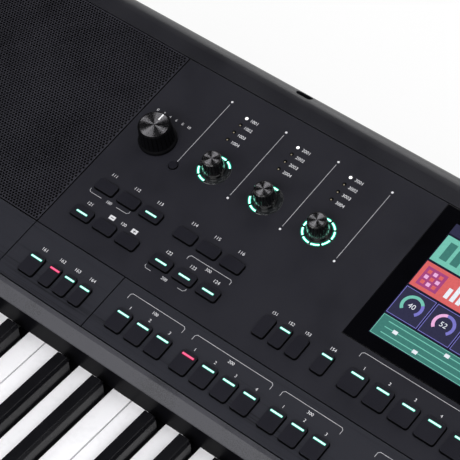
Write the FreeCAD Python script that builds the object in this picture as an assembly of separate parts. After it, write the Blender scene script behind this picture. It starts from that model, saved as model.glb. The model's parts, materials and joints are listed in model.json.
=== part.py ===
import FreeCAD, Part
import math
import os

# Arranger keyboard with 61 keys, in millimetres: X to the player's right, Y to the back, Z up.
# The origin lies on the table under the middle of the body.

# Body
left_cheek = 93.6
right_cheek = 66.4
wall = 3.0
foot_height = 4.0
foot_radius = 11.0
foot_inset = 45.0
case_height = 40.0
case_edge = 5.0
case_corner = 3.0
side_plate = 8.0
cheek_height = 70.0
cheek_round = 7.0
front_rail_depth = 5.0
front_rail_height = 52.0
rim_depth = 28.0
rim_flat = 9.6
groove = 0.9
fit = 0.3
running_fit = 0.05

# Sloping panel, strip and lip
panel_tilt = 10.5
control_field = 206.6
row_field = 44.0
panel_thickness = 3.0
fold_height = 100.0
strip_depth = 41.8
strip_section = 73.8
lip_margin = 3.9
bevel_depth = 6.4
bevel_drop = 6.9
lip_ledge = 4.0
beam_height = 6.0
beam_width = 5.0
rib_width = 8.0

# Keys
white_pitch = 23.5
octaves = 5
key_gap = 1.0
key_visible = 148.0
white_top = 66.0
white_thickness = 11.0
white_skirt = 18.0
skirt_thickness = 2.8
key_edge = 1.2
key_tail = 45.0
tail_under = 8.0
black_slot = 12.6
black_width = 10.6
black_crown = 7.2
black_height = 12.0
black_bevel = 3.0
black_length = 92.0
black_setback = 5.5
black_depth = 14.0
shank_width = 8.0
shank_drop = 5.0
pivot_drop = 14.0
rod_radius = 2.0
knuckle = 6.0
fascia_clear = 1.2
fascia_thickness = 2.4

# Key bed
sheet = 2.0
chassis_lift = 6.0
felt_from = 20.0
felt_width = 24.0
felt_thickness = 4.0
felt_seat = 41.6
board_thickness = 1.6
contact_seat = 38.0
contact_from = 46.0
contact_width = 34.0
rubber_height = 7.6
lug_width = 3.0

# Screen
glass_width = 177.0
glass_depth = 110.0
glass_thickness = 1.5
glass_ledge = 4.5
lcd_thickness = 8.0
lcd_clear = 1.0

# Button caps
cap_rise = 1.8
cap_below = 5.0
cap_corner = 1.6
cap_gap = 0.5
grid_u = 0.1026 * control_field
grid_pitch = 0.09 * control_field
grid_block_u = 0.4175 * control_field
grid_upper_v = 43.7
grid_lower_v = 19.95
grid_cap_width = 0.8 * grid_pitch
grid_cap_depth = 8.1
round_u = 45.4
round_v = 81.1
round_radius = 2.9
tall_cap_depth = 14.8
narrow_cap_width = 8.5
wide_cap_width = 11.5
strip_v = -26.4
chord_u = 19.55
chord_side_u = 34.9
chord_pitch = 12.25
style_pitch = 15.5
intro_u = 90.9
main_u = 141.7
ending_u = 208.0
transport_u = 276.0
memory_v = 20.2
bank_gap = 18.8
bank_pitch = 12.35
single_gap = 22.05
number_pitch = 18.1
number_count = 8
number_cap_width = 13.8

# Switch boards under the caps
board_drop = 11.4
switch_size = 6.0
switch_clear = 1.5
board_margin = 8.0
board_screen_gap = 9.0
boss_radius = 2.5

# Knobs
volume_u = 24.6
volume_v = 91.0
volume_radius = 11.6
volume_top = 10.8
volume_skirt = 12.8
volume_height = 17.0
encoder_u = 0.3354 * control_field
encoder_v = 93.1
encoder_pitch = 0.2004 * control_field
encoder_radius = 7.3
encoder_top = 6.3
encoder_skirt = 7.7
encoder_height = 12.8
ring_radius = 11.3
ring_proud = 0.2
dial_u = 52.0
dial_v = 98.0
dial_radius = 20.0
dial_top = 18.6
dial_skirt = 21.0
dial_height = 12.0
knob_lift = 0.5
knob_edge = 0.7
inlay_rim = 0.4
inlay_depth = 0.3
flute_depth = 0.6
volume_flutes = 24
encoder_flutes = 20
dial_flutes = 30
dimple_depth = 1.6
skirt_height = 2.0
stem_radius = 3.0
bush_wall = 0.6
control_radius = 8.0
control_rise = 7.0

# Wheels on the left of the keys
wheel_radius = 26.0
wheel_width = 12.0
wheel_rise = 10.0
wheel_pitch = 30.0
wheel_back = 70.0
wheel_side = 1.0
axle_radius = 3.0
bracket_wall = 2.5

# Loudspeakers
speaker_radius = 48.0
speaker_flange = 55.0
speaker_depth = 42.0
magnet_radius = 30.0
magnet_depth = 14.0
baffle = 3.0
grille_sheet = 1.2

# Sockets at the back
socket_x = 215.0
socket_inset = 8.4
socket_width = 12.4
socket_depth = 5.0
socket_wall = 2.5
socket_length = 33.0
jack_panel_x = 110.0
jack_panel_width = 250.0
jack_panel_height = 34.0
jack_panel_lift = 50.0
jack_flange = 6.0
jack_margin = 20.0
jack_count = 5
power_margin = 38.0
jack_radius = 3.25
jack_bush = 6.0
jack_nut = 8.0
jack_nut_thickness = 2.0
jack_depth = 22.0
jack_body = 14.0
usb_a_width = 12.6
usb_a_height = 5.2
usb_b_width = 8.6
usb_b_height = 7.9
port_wall = 0.8
port_depth = 14.0
inlet_radius = 5.5
inlet_bore = 3.2
inlet_pin = 1.0
power_width = 14.0
power_height = 9.0
power_travel = 3.0

# Main board
main_board_width = 260.0
main_board_depth = 100.0
main_board_lift = 7.0
chip_size = 24.0
chip_height = 2.0
fin_count = 7
fin_pitch = 5.0
fin_thickness = 1.5
fin_height = 22.0

# Places worked out from the sizes above
tilt = math.radians(panel_tilt)
run = math.cos(tilt)
rise = math.sin(tilt)
panel_width = 2 * control_field + glass_width
panel_depth = row_field + glass_depth
lip_run = lip_margin + strip_depth
body_depth = front_rail_depth + key_visible + bevel_depth + (lip_run + panel_depth) * run + rim_depth
octave_span = 7 * white_pitch
key_span = octaves * octave_span + white_pitch
body_width = left_cheek + key_span + right_cheek
side_x = body_width / 2
inner_x = side_x - side_plate
front_y = -body_depth / 2
rear_y = body_depth / 2
key_front_y = front_y + front_rail_depth
fascia_y = key_front_y + key_visible
fold_y = fascia_y + bevel_depth + lip_run * run
lip_edge_z = fold_height - lip_run * rise - bevel_drop
floor_z = foot_height + wall
panel_left = -panel_width / 2
beam_under = -panel_thickness - beam_height
key_left = left_cheek - side_x
key_right = key_left + key_span
pivot_y = fascia_y + key_tail
pivot_z = white_top - pivot_drop
black_rear_y = fascia_y - black_setback
black_front_y = black_rear_y - black_length
chassis_z = floor_z + chassis_lift
glass_front_v = panel_depth - glass_depth
switch_top = -cap_below - switch_clear
slope = FreeCAD.Placement(FreeCAD.Vector(0, fold_y, fold_height),
                          FreeCAD.Rotation(FreeCAD.Vector(1, 0, 0), panel_tilt))


def on_slope(v, h):
    """Y and Z of a point at v up the panel's slope and h above its surface."""
    return fold_y + v * run - h * rise, fold_height + v * rise + h * run


def on_panel(shape):
    placed = shape.copy()
    placed.Placement = slope.multiply(placed.Placement)
    return placed


def box(x0, x1, y0, y1, z0, z1):
    return Part.makeBox(x1 - x0, y1 - y0, z1 - z0, FreeCAD.Vector(x0, y0, z0))


def post(radius, x, y, z0, z1):
    return Part.makeCylinder(radius, z1 - z0, FreeCAD.Vector(x, y, z0))


def rod(radius, x0, x1, y, z):
    return Part.makeCylinder(radius, x1 - x0, FreeCAD.Vector(x0, y, z), FreeCAD.Vector(1, 0, 0))


def pin(radius, x, y0, y1, z):
    return Part.makeCylinder(radius, y1 - y0, FreeCAD.Vector(x, y0, z), FreeCAD.Vector(0, 1, 0))


def prism(points, x0, x1, bends=None):
    """A side outline of Y, Z points drawn along X; bends holds the middle of each round stretch."""
    bends = bends or {}
    corners = [FreeCAD.Vector(x0, y, z) for y, z in points]
    edges = []
    for i, start in enumerate(corners):
        end = corners[(i + 1) % len(corners)]
        if i in bends:
            middle = FreeCAD.Vector(x0, *bends[i])
            edges.append(Part.Arc(start, middle, end).toShape())
        else:
            edges.append(Part.LineSegment(start, end).toShape())
    return Part.Face(Part.Wire(edges)).extrude(FreeCAD.Vector(x1 - x0, 0, 0))


def slab(points, z0, z1):
    """A plan outline of X, Y points raised from z0 to z1."""
    corners = [FreeCAD.Vector(x, y, z0) for x, y in points]
    face = Part.Face(Part.makePolygon(corners + corners[:1]))
    return face.extrude(FreeCAD.Vector(0, 0, z1 - z0))


def turned(points, x=0.0, y=0.0):
    """A half section of radius, height points turned about the vertical through x, y."""
    corners = [FreeCAD.Vector(x + r, y, z) for r, z in points]
    face = Part.Face(Part.makePolygon(corners + corners[:1]))
    return face.revolve(FreeCAD.Vector(x, y, 0), FreeCAD.Vector(0, 0, 1), 360)


def rounded(x, y, width, depth, radius, z0, z1):
    block = box(x - width / 2, x + width / 2, y - depth / 2, y + depth / 2, z0, z1)
    upright = [edge for edge in block.Edges if abs(edge.tangentAt(edge.FirstParameter).z) > 0.5]
    return block.makeFillet(radius, upright)


def folded(points, thickness, x0, x1):
    """A sheet bent along square corners: the Y, Z points run along the middle of the sheet."""
    sides = {1: [], -1: []}
    for i, (y, z) in enumerate(points):
        before = points[max(i - 1, 0)]
        after = points[min(i + 1, len(points) - 1)]
        normals = []
        for (ya, za), (yb, zb) in ((before, (y, z)), ((y, z), after)):
            length = math.hypot(yb - ya, zb - za)
            if length:
                normals.append(((za - zb) / length, (yb - ya) / length))
        offset_y = sum(n[0] for n in normals)
        offset_z = sum(n[1] for n in normals)
        if len(normals) == 2 and normals[0] == normals[1]:
            offset_y, offset_z = normals[0]
        for side in sides:
            reach = side * thickness / 2
            sides[side].append((y + offset_y * reach, z + offset_z * reach))
    return prism(sides[1] + sides[-1][::-1], x0, x1)


def mirrored(places):
    return [(-x, v, width, depth) for x, v, width, depth in places]


def save(name, *solids):
    shape = solids[0] if len(solids) == 1 else Part.makeCompound(list(solids))
    shape.exportStep(os.path.join("parts", name + ".step"))


os.makedirs("parts", exist_ok=True)

# Rear roll: the rim runs on from the panel and turns down into the rear wall
rim_from = panel_depth + groove
roll_y, roll_z = on_slope(rim_from + rim_flat, 0)
roll_radius = (rear_y - roll_y) / (1 + rise)
roll_centre = (roll_y + roll_radius * rise, roll_z - roll_radius * run)


def on_roll(radius):
    """Start, middle and end of the roll's quarter turn at one radius."""
    first = math.pi / 2 + tilt
    return [(roll_centre[0] + radius * math.cos(a), roll_centre[1] + radius * math.sin(a))
            for a in (first, first / 2, 0)]


# Lower case: a tray with rounded lower edges, key-bed ribs and main-board posts
def lower_case():
    tray = rounded(0, 0, body_width, body_depth, case_corner, foot_height, case_height)
    low = [e for e in tray.Edges if abs(e.CenterOfMass.z - foot_height) < 1e-6]
    tray = tray.makeFillet(case_edge, low)
    hollow = box(-side_x + wall, side_x - wall, front_y + wall, rear_y - wall, floor_z,
                 case_height + wall)
    tray = tray.cut(hollow)
    ribs = []
    for y in (key_front_y + felt_from + felt_width + 2 * wall, fascia_y - wall, pivot_y):
        ribs.append(box(key_left, key_right, y, y + wall, floor_z, chassis_z))
    for x, y in main_board_posts:
        ribs.append(post(2 * wall, x, y, floor_z, floor_z + main_board_lift))
    return tray.fuse(ribs)


main_board_rear = rear_y - jack_depth - 4 * wall
main_board_front = main_board_rear - main_board_depth
main_board_posts = [(x * (main_board_width / 2 - 3 * wall), y)
                    for x in (-1, 1) for y in (main_board_front + 3 * wall, main_board_rear - 3 * wall)]
save("bottom_case", lower_case())

# Rubber feet under the corners and the middle of the lower case
foot_x = side_x - foot_inset
foot_y = rear_y - foot_inset
foot_edge = foot_height / 4
foot_outline = [(0, 0), (foot_radius - foot_edge, 0), (foot_radius, foot_edge),
                (foot_radius, foot_height), (0, foot_height)]
feet = [turned(foot_outline, x, y) for x in (-foot_x, 0, foot_x) for y in (-foot_y, foot_y)]
save("rubber_feet", *feet)

# Front rail: the slip that stands in front of the white keys
rail_back_y = key_front_y - fit - key_edge
rail_round = (rail_back_y - front_y) / 2
save("front_rail", prism(
    [(front_y, case_height), (front_y, front_rail_height - rail_round),
     (rail_back_y, front_rail_height - rail_round), (rail_back_y, case_height)],
    key_left, key_right, {1: (front_y + rail_round, front_rail_height)}))


# End blocks: a full-depth side with a hollow cheek beside the keys
def end_block(outer, inner):
    rim = on_roll(roll_radius)
    corner = cheek_round * (1 - math.sqrt(0.5))
    low_x, high_x = sorted((outer, outer - math.copysign(side_plate, outer)))
    side = prism(
        [(front_y, case_height), (front_y, cheek_height - cheek_round),
         (front_y + cheek_round, cheek_height), (fascia_y, cheek_height), (fascia_y, lip_edge_z),
         on_slope(-lip_run, 0), rim[0], rim[2], (rear_y, case_height)],
        low_x, high_x, {1: (front_y + corner, cheek_height - corner), 6: rim[1]})
    outside = [e for e in side.Edges
               if abs(e.CenterOfMass.x - outer) < 1e-6 and e.CenterOfMass.z > case_height + 1e-6]
    side = side.makeFillet(case_corner, outside)
    back_y = fascia_y + wall
    low_x, high_x = sorted((outer - math.copysign(side_plate / 2, outer), inner))
    cheek = prism(
        [(front_y, case_height), (front_y, cheek_height - cheek_round),
         (front_y + cheek_round, cheek_height), (fascia_y, cheek_height), (fascia_y, lip_edge_z - fit),
         (back_y, lip_edge_z - fit), (back_y, case_height)],
        low_x, high_x, {1: (front_y + corner, cheek_height - corner)})
    low_x, high_x = sorted((outer - math.copysign(side_plate, outer),
                            inner + math.copysign(wall, outer)))
    hollow = box(low_x, high_x, front_y + wall, fascia_y, case_height - wall, cheek_height - wall)
    return side.fuse(cheek).cut(hollow)


left_inner = key_left - key_gap
right_inner = key_right + key_gap
wheel_xs = [-inner_x + (left_inner + inner_x) / 2 + s * wheel_pitch / 2 for s in (-1, 1)]
wheel_y = fascia_y - wheel_back
wheel_z = cheek_height + wheel_rise - wheel_radius
slot_reach = math.sqrt(wheel_radius ** 2 - (wheel_radius - wheel_rise - wall) ** 2) + 2 * wheel_side
left_block = end_block(-side_x, left_inner)
slot_half = wheel_width / 2 + wheel_side
slots = [box(x - slot_half, x + slot_half, wheel_y - slot_reach, wheel_y + slot_reach,
             cheek_height - 2 * wall, cheek_height + wall) for x in wheel_xs]
left_block = left_block.cut(slots)
save("left_end_block", left_block)
save("right_end_block", end_block(side_x, right_inner))


# Wheels: a thumb wheel on its own axle, with a notch or a ridged rim
def wheel(x):
    edge = wheel_width / 8
    half = wheel_width / 2
    outline = [(0, -half), (wheel_radius - edge, -half), (wheel_radius, edge - half),
               (wheel_radius, half - edge), (wheel_radius - edge, half), (0, half)]
    disc = turned(outline)
    disc.Placement = FreeCAD.Placement(FreeCAD.Vector(x, wheel_y, wheel_z),
                                       FreeCAD.Rotation(FreeCAD.Vector(0, 1, 0), 90))
    reach = half + wheel_side + bracket_wall
    return disc.fuse(rod(axle_radius, x - reach, x + reach, wheel_y, wheel_z))


notch_radius = wheel_width / 2
notch_z = wheel_z + wheel_radius + notch_radius / 2
notch = rod(notch_radius, wheel_xs[0] - wheel_width, wheel_xs[0] + wheel_width, wheel_y, notch_z)
save("pitch_wheel", wheel(wheel_xs[0]).cut(notch))
ridges = []
for i in range(-3, 4):
    turn = math.radians(12 * i)
    ridge_y = wheel_y + wheel_radius * math.sin(turn)
    ridge_z = wheel_z + wheel_radius * math.cos(turn)
    ridges.append(rod(wheel_side, wheel_xs[1] - wheel_width, wheel_xs[1] + wheel_width,
                      ridge_y, ridge_z))
save("mod_wheel", wheel(wheel_xs[1]).cut(ridges))

# Wheel bracket: cheeks with bearing holes, standing on the lower case's floor
bracket_reach = wheel_radius / 2
bracket = [box(wheel_xs[0] - slot_half - bracket_wall, wheel_xs[1] + slot_half + bracket_wall,
               wheel_y - bracket_reach, wheel_y + bracket_reach, floor_z, floor_z + bracket_wall)]
for x in wheel_xs:
    for start in (x - slot_half - bracket_wall, x + slot_half):
        bracket.append(prism(
            [(wheel_y - bracket_reach, floor_z), (wheel_y - 2 * axle_radius, wheel_z),
             (wheel_y + 2 * axle_radius, wheel_z), (wheel_y + bracket_reach, floor_z)],
            start, start + bracket_wall, {1: (wheel_y, wheel_z + 2 * axle_radius)}))
bearing = rod(axle_radius + running_fit, -side_x, left_inner, wheel_y, wheel_z)
save("wheel_bracket", bracket[0].fuse(bracket[1:]).cut(bearing))

# Panel frame: the lip over the keys, three long beams, ribs and the loudspeaker baffles
speaker_x = (inner_x + panel_width / 2) / 2
speaker_v = panel_depth / 2


def panel_frame():
    ledge_v = lip_ledge - strip_depth
    strip_front = -strip_depth - groove
    lip = prism(
        [on_slope(strip_front, 0), on_slope(-lip_run, 0), (fascia_y, lip_edge_z),
         (fascia_y + fascia_thickness + wall, lip_edge_z), on_slope(ledge_v, beam_under),
         on_slope(ledge_v, -panel_thickness), on_slope(strip_front, -panel_thickness)],
        -inner_x, inner_x)
    pieces = [box(-inner_x, inner_x, -beam_width, beam_width, beam_under, -panel_thickness),
              box(-inner_x, inner_x, panel_depth - beam_width, panel_depth, beam_under, -panel_thickness)]
    for x in (-inner_x, panel_left - rib_width / 2, -panel_left - rib_width / 2, inner_x - rib_width):
        pieces.append(box(x, x + rib_width, ledge_v - lip_ledge / 2, panel_depth,
                          beam_under, -panel_thickness))
    for side in (-1, 1):
        half = (inner_x - panel_width / 2) / 2
        plate = box(side * speaker_x - half, side * speaker_x + half, 0, panel_depth,
                    beam_under, beam_under + baffle)
        pieces.append(plate.cut(post(speaker_radius, side * speaker_x, speaker_v, beam_under - baffle, 0)))
    return lip.fuse([on_panel(piece) for piece in pieces]).removeSplitter()


save("panel_frame", panel_frame())

# Key fascia: the gloss strip that closes the gap between the lip and the keys
save("key_fascia", box(key_left, key_right, fascia_y + fit, fascia_y + fit + fascia_thickness,
                       white_top + fascia_clear, lip_edge_z))


# Rear cover: rim, roll and rear wall in one section, with moulded slots for the music rest's tongues
socket_y = rear_y - socket_inset
socket_mouth = roll_centre[1] + math.sqrt(
    roll_radius ** 2 - (socket_y - socket_depth / 2 - roll_centre[0]) ** 2)
socket_bottom = socket_mouth - socket_length


def rest_slot(x, grow):
    """A slot with round ends, or the sleeve round it where it is grown by a wall."""
    radius = socket_depth / 2 + grow
    reach = (socket_width - socket_depth) / 2
    low = socket_bottom - grow
    high = roll_z + wall
    middle = box(x - reach, x + reach, socket_y - radius, socket_y + radius, low, high)
    return middle.fuse([post(radius, x + side * reach, socket_y, low, high) for side in (-1, 1)])


def rear_cover():
    outer = on_roll(roll_radius)
    inside = on_roll(roll_radius - wall)
    section = [on_slope(rim_from, 0), outer[0], outer[2], (rear_y, case_height),
               (rear_y - wall, case_height), inside[2], inside[0],
               on_slope(rim_from + wall, -panel_thickness), on_slope(rim_from + wall, beam_under),
               on_slope(rim_from, beam_under)]
    shell = prism(section, -inner_x, inner_x, {1: outer[1], 5: inside[1]})
    filled = [on_slope(rim_from, 0), outer[0], outer[2], (rear_y, case_height),
              on_slope(rim_from, beam_under)]
    tube_half = socket_width / 2 + socket_wall
    for x in (-socket_x, socket_x):
        body = prism(filled, x - tube_half, x + tube_half, {1: outer[1]})
        shell = shell.fuse(body.common(rest_slot(x, socket_wall)))
    slots = [rest_slot(x, 0) for x in (-socket_x, socket_x)]
    window = box(jack_panel_x - jack_panel_width / 2, jack_panel_x + jack_panel_width / 2,
                 rear_y - 2 * wall, rear_y + wall, jack_panel_lift, jack_panel_lift + jack_panel_height)
    return shell.cut(slots + [window])


save("rear_cover", rear_cover())

# Jack panel and port panel, side by side in the rear wall's window, and the sockets that they carry
plate_back = rear_y - wall
plate_front = plate_back - wall
jack_z = jack_panel_lift + jack_panel_height / 2
jack_first = jack_panel_x - jack_panel_width / 2 + jack_margin
jack_pitch = (jack_panel_width - jack_margin - power_margin) / (jack_count + 3)
jack_xs = [jack_first + jack_pitch * i for i in range(jack_count)]
usb_a_x = jack_xs[-1] + jack_pitch
usb_b_x = usb_a_x + jack_pitch
inlet_x = usb_b_x + jack_pitch
power_x = inlet_x + jack_pitch


def cross_box(x, width, height, y0, y1):
    return box(x - width / 2, x + width / 2, y0, y1, jack_z - height / 2, jack_z + height / 2)


def rear_plate(x0, x1):
    return box(x0, x1, plate_front, plate_back,
               jack_panel_lift - jack_flange, jack_panel_lift + jack_panel_height + jack_flange)


reach_x = jack_panel_width / 2 + jack_flange
plate_joint_x = (jack_xs[-1] + usb_a_x) / 2
jack_holes = [pin(jack_bush + running_fit, x, plate_front - wall, rear_y, jack_z) for x in jack_xs]
save("jack_panel", rear_plate(jack_panel_x - reach_x, plate_joint_x - fit / 2).cut(jack_holes))
port_holes = [pin(inlet_radius + running_fit, inlet_x, plate_front - wall, rear_y, jack_z)]
port_grow = 2 * (port_wall + running_fit)
for x, width, height in ((usb_a_x, usb_a_width + port_grow, usb_a_height + port_grow),
                         (usb_b_x, usb_b_width + port_grow, usb_b_height + port_grow),
                         (power_x, power_width + 2 * fit, power_height + 2 * fit)):
    port_holes.append(cross_box(x, width, height, plate_front - wall, rear_y))
save("port_panel", rear_plate(plate_joint_x + fit / 2, jack_panel_x + reach_x).cut(port_holes))

jacks = []
for x in jack_xs:
    shell = cross_box(x, jack_body, jack_body, plate_front - jack_depth, plate_front)
    shell = shell.fuse([pin(jack_bush, x, plate_front, rear_y - fit, jack_z),
                        pin(jack_nut, x, plate_back, plate_back + jack_nut_thickness, jack_z)])
    jacks.append(shell.cut(pin(jack_radius, x, plate_back - jack_depth, rear_y, jack_z)))
save("line_jacks", *jacks)


def port(x, width, height):
    outer = cross_box(x, width + 2 * port_wall, height + 2 * port_wall,
                      plate_back - port_depth - wall, rear_y - fit)
    return outer.cut(cross_box(x, width, height, plate_back - port_depth, rear_y))


save("usb_ports", port(usb_a_x, usb_a_width, usb_a_height),
     port(usb_b_x, usb_b_width, usb_b_height))

inlet = pin(inlet_radius, inlet_x, plate_front - port_depth, rear_y - fit, jack_z)
inlet = inlet.cut(pin(inlet_bore, inlet_x, plate_back - port_depth, rear_y, jack_z))
save("dc_inlet", inlet.fuse(pin(inlet_pin, inlet_x, plate_front - port_depth, plate_back, jack_z)))

power_depth = plate_back - plate_front + 2 * wall
power_plate = rounded(power_x, 0, power_width, power_height, cap_corner, 0, power_depth)
power_plate.Placement = FreeCAD.Placement(
    FreeCAD.Vector(0, rear_y + power_travel, jack_z), FreeCAD.Rotation(FreeCAD.Vector(1, 0, 0), 90))
power_plate.translate(FreeCAD.Vector(0, -power_travel - fit, 0))
save("power_button", power_plate)

# Main board on its posts, with chips and a heat sink of fins
board_z = floor_z + main_board_lift
board_top = board_z + board_thickness
half_board = main_board_width / 2
chip_y = main_board_front + main_board_depth / 2
chips = [box(x - size / 2, x + size / 2, chip_y - size / 2, chip_y + size / 2,
             board_top, board_top + chip_height)
         for x, size in ((-half_board / 2, chip_size), (0, 0.75 * chip_size))]
fin_x = half_board / 2
fin_low = chip_y - main_board_depth / 5
fin_high = chip_y + main_board_depth / 5
fins = [box(fin_x + fin_pitch * i, fin_x + fin_pitch * i + fin_thickness, fin_low, fin_high,
            board_top, board_top + fin_height) for i in range(fin_count)]
fins.append(box(fin_x, fin_x + fin_pitch * (fin_count - 1) + fin_thickness, fin_low, fin_high,
                board_top, board_top + wall))
main_board = box(-half_board, half_board, main_board_front, main_board_rear, board_z, board_top)
save("main_board", main_board.fuse(chips + fins))


# Keys: the head is a side outline cut to a plan outline, the shank ends in a knuckle round the rod
def shank(x, from_y, top_z, bottom_z):
    half = shank_width / 2
    arm = prism([(from_y, top_z), (pivot_y, pivot_z + knuckle), (pivot_y, pivot_z - knuckle),
                 (from_y, bottom_z)], x - half, x + half, {1: (pivot_y + knuckle, pivot_z)})
    return arm.cut(rod(rod_radius + running_fit, x - shank_width, x + shank_width, pivot_y, pivot_z))


def white_key(left, tail_from, tail_to):
    gap = key_gap / 2
    wide = (left + gap, left + white_pitch - gap)
    tail = (tail_from + gap, tail_to - gap)
    head_end = fascia_y + tail_under
    notch_y = black_front_y - key_gap
    plan = [(wide[0], key_front_y), (wide[1], key_front_y)]
    if wide[1] - tail[1] > key_gap:
        plan += [(wide[1], notch_y), (tail[1], notch_y)]
    plan += [(tail[1], head_end), (tail[0], head_end)]
    if tail[0] - wide[0] > key_gap:
        plan += [(tail[0], notch_y), (wide[0], notch_y)]
    under = white_top - white_thickness
    skirt_y = key_front_y + skirt_thickness
    arc_in = key_edge * (1 - math.sqrt(0.5))
    side = prism(
        [(key_front_y, white_top - key_edge), (key_front_y + key_edge, white_top),
         (head_end, white_top), (head_end, under), (skirt_y, under),
         (skirt_y, white_top - white_skirt), (key_front_y, white_top - white_skirt)],
        left, left + white_pitch, {0: (key_front_y + arc_in, white_top - arc_in)})
    head = side.common(slab(plan, white_top - white_skirt, white_top))
    arm = shank((tail_from + tail_to) / 2, head_end - tail_under / 2, white_top - shank_drop, under)
    return head.fuse(arm).removeSplitter()


def black_key(centre):
    levels = [(-black_depth, black_width, 0), (0, black_width, 0),
              (black_height - black_bevel, black_width - 1, black_height / 3),
              (black_height, black_crown, black_height / 2 + 1)]
    wires = []
    for height, width, back in levels:
        x0, x1 = centre - width / 2, centre + width / 2
        y0, z = black_front_y + back, white_top + height
        corners = [FreeCAD.Vector(x0, y0, z), FreeCAD.Vector(x1, y0, z),
                   FreeCAD.Vector(x1, black_rear_y, z), FreeCAD.Vector(x0, black_rear_y, z)]
        wires.append(Part.makePolygon(corners + corners[:1]))
    cap = Part.makeLoft(wires, True, True)
    arm = shank(centre, black_rear_y - shank_width, white_top - shank_drop, white_top - black_depth)
    return cap.fuse(arm).removeSplitter()


# One octave: tails share what the black keys' slots leave between C and E, and between F and B
c_tail = (3 * white_pitch - 2 * black_slot) / 3
f_tail = (4 * white_pitch - 3 * black_slot) / 4
f_left = 3 * white_pitch
whites = {}
blacks = {}
for start, tail, names, sharps in ((0, c_tail, "cde", ("c_sharp", "d_sharp")),
                                   (f_left, f_tail, "fgab", ("f_sharp", "g_sharp", "a_sharp"))):
    for i, name in enumerate(names):
        tail_from = start + i * (tail + black_slot)
        whites[name] = (start + i * white_pitch, tail_from, tail_from + tail)
    for i, name in enumerate(sharps):
        blacks[name] = start + (i + 1) * tail + (i + 0.5) * black_slot


def every_octave(key):
    return [key.translated(FreeCAD.Vector(key_left + i * octave_span, 0, 0)) for i in range(octaves)]


top_key = white_key(key_right - white_pitch, key_right - white_pitch, key_right)
for name, place in whites.items():
    keys = every_octave(white_key(*place))
    save(name + "_keys", *(keys + [top_key] if name == "c" else keys))
for name, centre in blacks.items():
    save(name + "_keys", *every_octave(black_key(centre)))

# Key bed: a folded steel sheet with lugs that carry the pivot rod
lug_reach = 2 * knuckle
felt_y = key_front_y + felt_from
contact_y = fascia_y - contact_from
middle = chassis_z + sheet / 2
riser_y = pivot_y + lug_reach
bed = folded(
    [(felt_y - sheet, middle), (felt_y - sheet, felt_seat - sheet / 2),
     (felt_y + felt_width + sheet, felt_seat - sheet / 2), (felt_y + felt_width + sheet, middle),
     (contact_y - sheet, middle), (contact_y - sheet, contact_seat - sheet / 2),
     (contact_y + contact_width + sheet, contact_seat - sheet / 2),
     (contact_y + contact_width + sheet, middle), (riser_y, middle), (riser_y, pivot_z)],
    sheet, key_left, key_right)
lugs = []
for x in [key_left + i * octave_span for i in range(octaves + 1)] + [key_right - lug_width]:
    lugs.append(prism(
        [(pivot_y - knuckle, middle), (riser_y, middle), (riser_y, pivot_z),
         (pivot_y + knuckle, pivot_z + knuckle), (pivot_y - knuckle, pivot_z)],
        x, x + lug_width, {3: (pivot_y - knuckle / 2, pivot_z + knuckle)}))
rod_hole = rod(rod_radius + running_fit, key_left - wall, key_right + wall, pivot_y, pivot_z)
save("key_chassis", bed.fuse(lugs).cut(rod_hole))
save("key_pivot_rod", rod(rod_radius, key_left, key_right, pivot_y, pivot_z))
save("key_stop_felt", box(key_left, key_right, felt_y, felt_y + felt_width,
                          felt_seat, felt_seat + felt_thickness))
contact_top = contact_seat + board_thickness
save("contact_board", box(key_left, key_right, contact_y, contact_y + contact_width,
                          contact_seat, contact_top))
rubber_y = contact_y + contact_width / 2
rubber_half = contact_width / 3
save("contact_rubber", prism(
    [(rubber_y - rubber_half, contact_top), (rubber_y - rubber_half, contact_top + sheet),
     (rubber_y - rubber_half / 2, contact_top + rubber_height),
     (rubber_y + rubber_half / 2, contact_top + rubber_height),
     (rubber_y + rubber_half, contact_top + sheet), (rubber_y + rubber_half, contact_top)],
    key_left, key_right))

# Places of the caps, each as X, v, width and depth
first_columns = [panel_left + grid_u + grid_pitch * i for i in range(3)]
second_columns = [panel_left + grid_block_u + grid_pitch * i for i in range(3)]
setup = [(x, grid_upper_v, grid_cap_width, grid_cap_depth) for x in first_columns + second_columns]
tempo = [(x, grid_lower_v, grid_cap_width, grid_cap_depth) for x in first_columns]
record = [(x, grid_lower_v, grid_cap_width, grid_cap_depth) for x in second_columns]
voice = mirrored(setup + tempo + record)
number_xs = [(i - (number_count - 1) / 2) * number_pitch for i in range(number_count)]
single_x = number_xs[0] - single_gap
bank_xs = [single_x - bank_gap - bank_pitch * i for i in range(3)]
memory = [(x, memory_v, narrow_cap_width, tall_cap_depth) for x in bank_xs + [single_x]]
memory += [(x, memory_v, number_cap_width, tall_cap_depth) for x in number_xs]


def strip_row(first_u, pitch, count, width):
    return [(panel_left + first_u + pitch * i, strip_v, width, tall_cap_depth) for i in range(count)]


chord = strip_row(chord_u, chord_pitch, 1, wide_cap_width)
chord += strip_row(chord_side_u, chord_pitch, 3, narrow_cap_width)
intro = strip_row(intro_u, style_pitch, 3, wide_cap_width)
ending = strip_row(ending_u, style_pitch, 3, wide_cap_width)
variations = strip_row(main_u, style_pitch, 4, wide_cap_width)
transport = strip_row(transport_u, style_pitch, 4, wide_cap_width)
pads = mirrored(chord)
shifts = mirrored(intro)
panel_caps = setup + tempo + record + memory + voice
strip_caps = chord + intro + ending + variations + transport + pads + shifts


def cap(x, v, width, depth):
    return on_panel(rounded(x, v, width, depth, cap_corner, -cap_below, cap_rise))


def cap_window(x, v, width, depth):
    return rounded(x, v, width + 2 * cap_gap, depth + 2 * cap_gap, cap_corner + cap_gap,
                   -2 * panel_thickness, panel_thickness)


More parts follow.
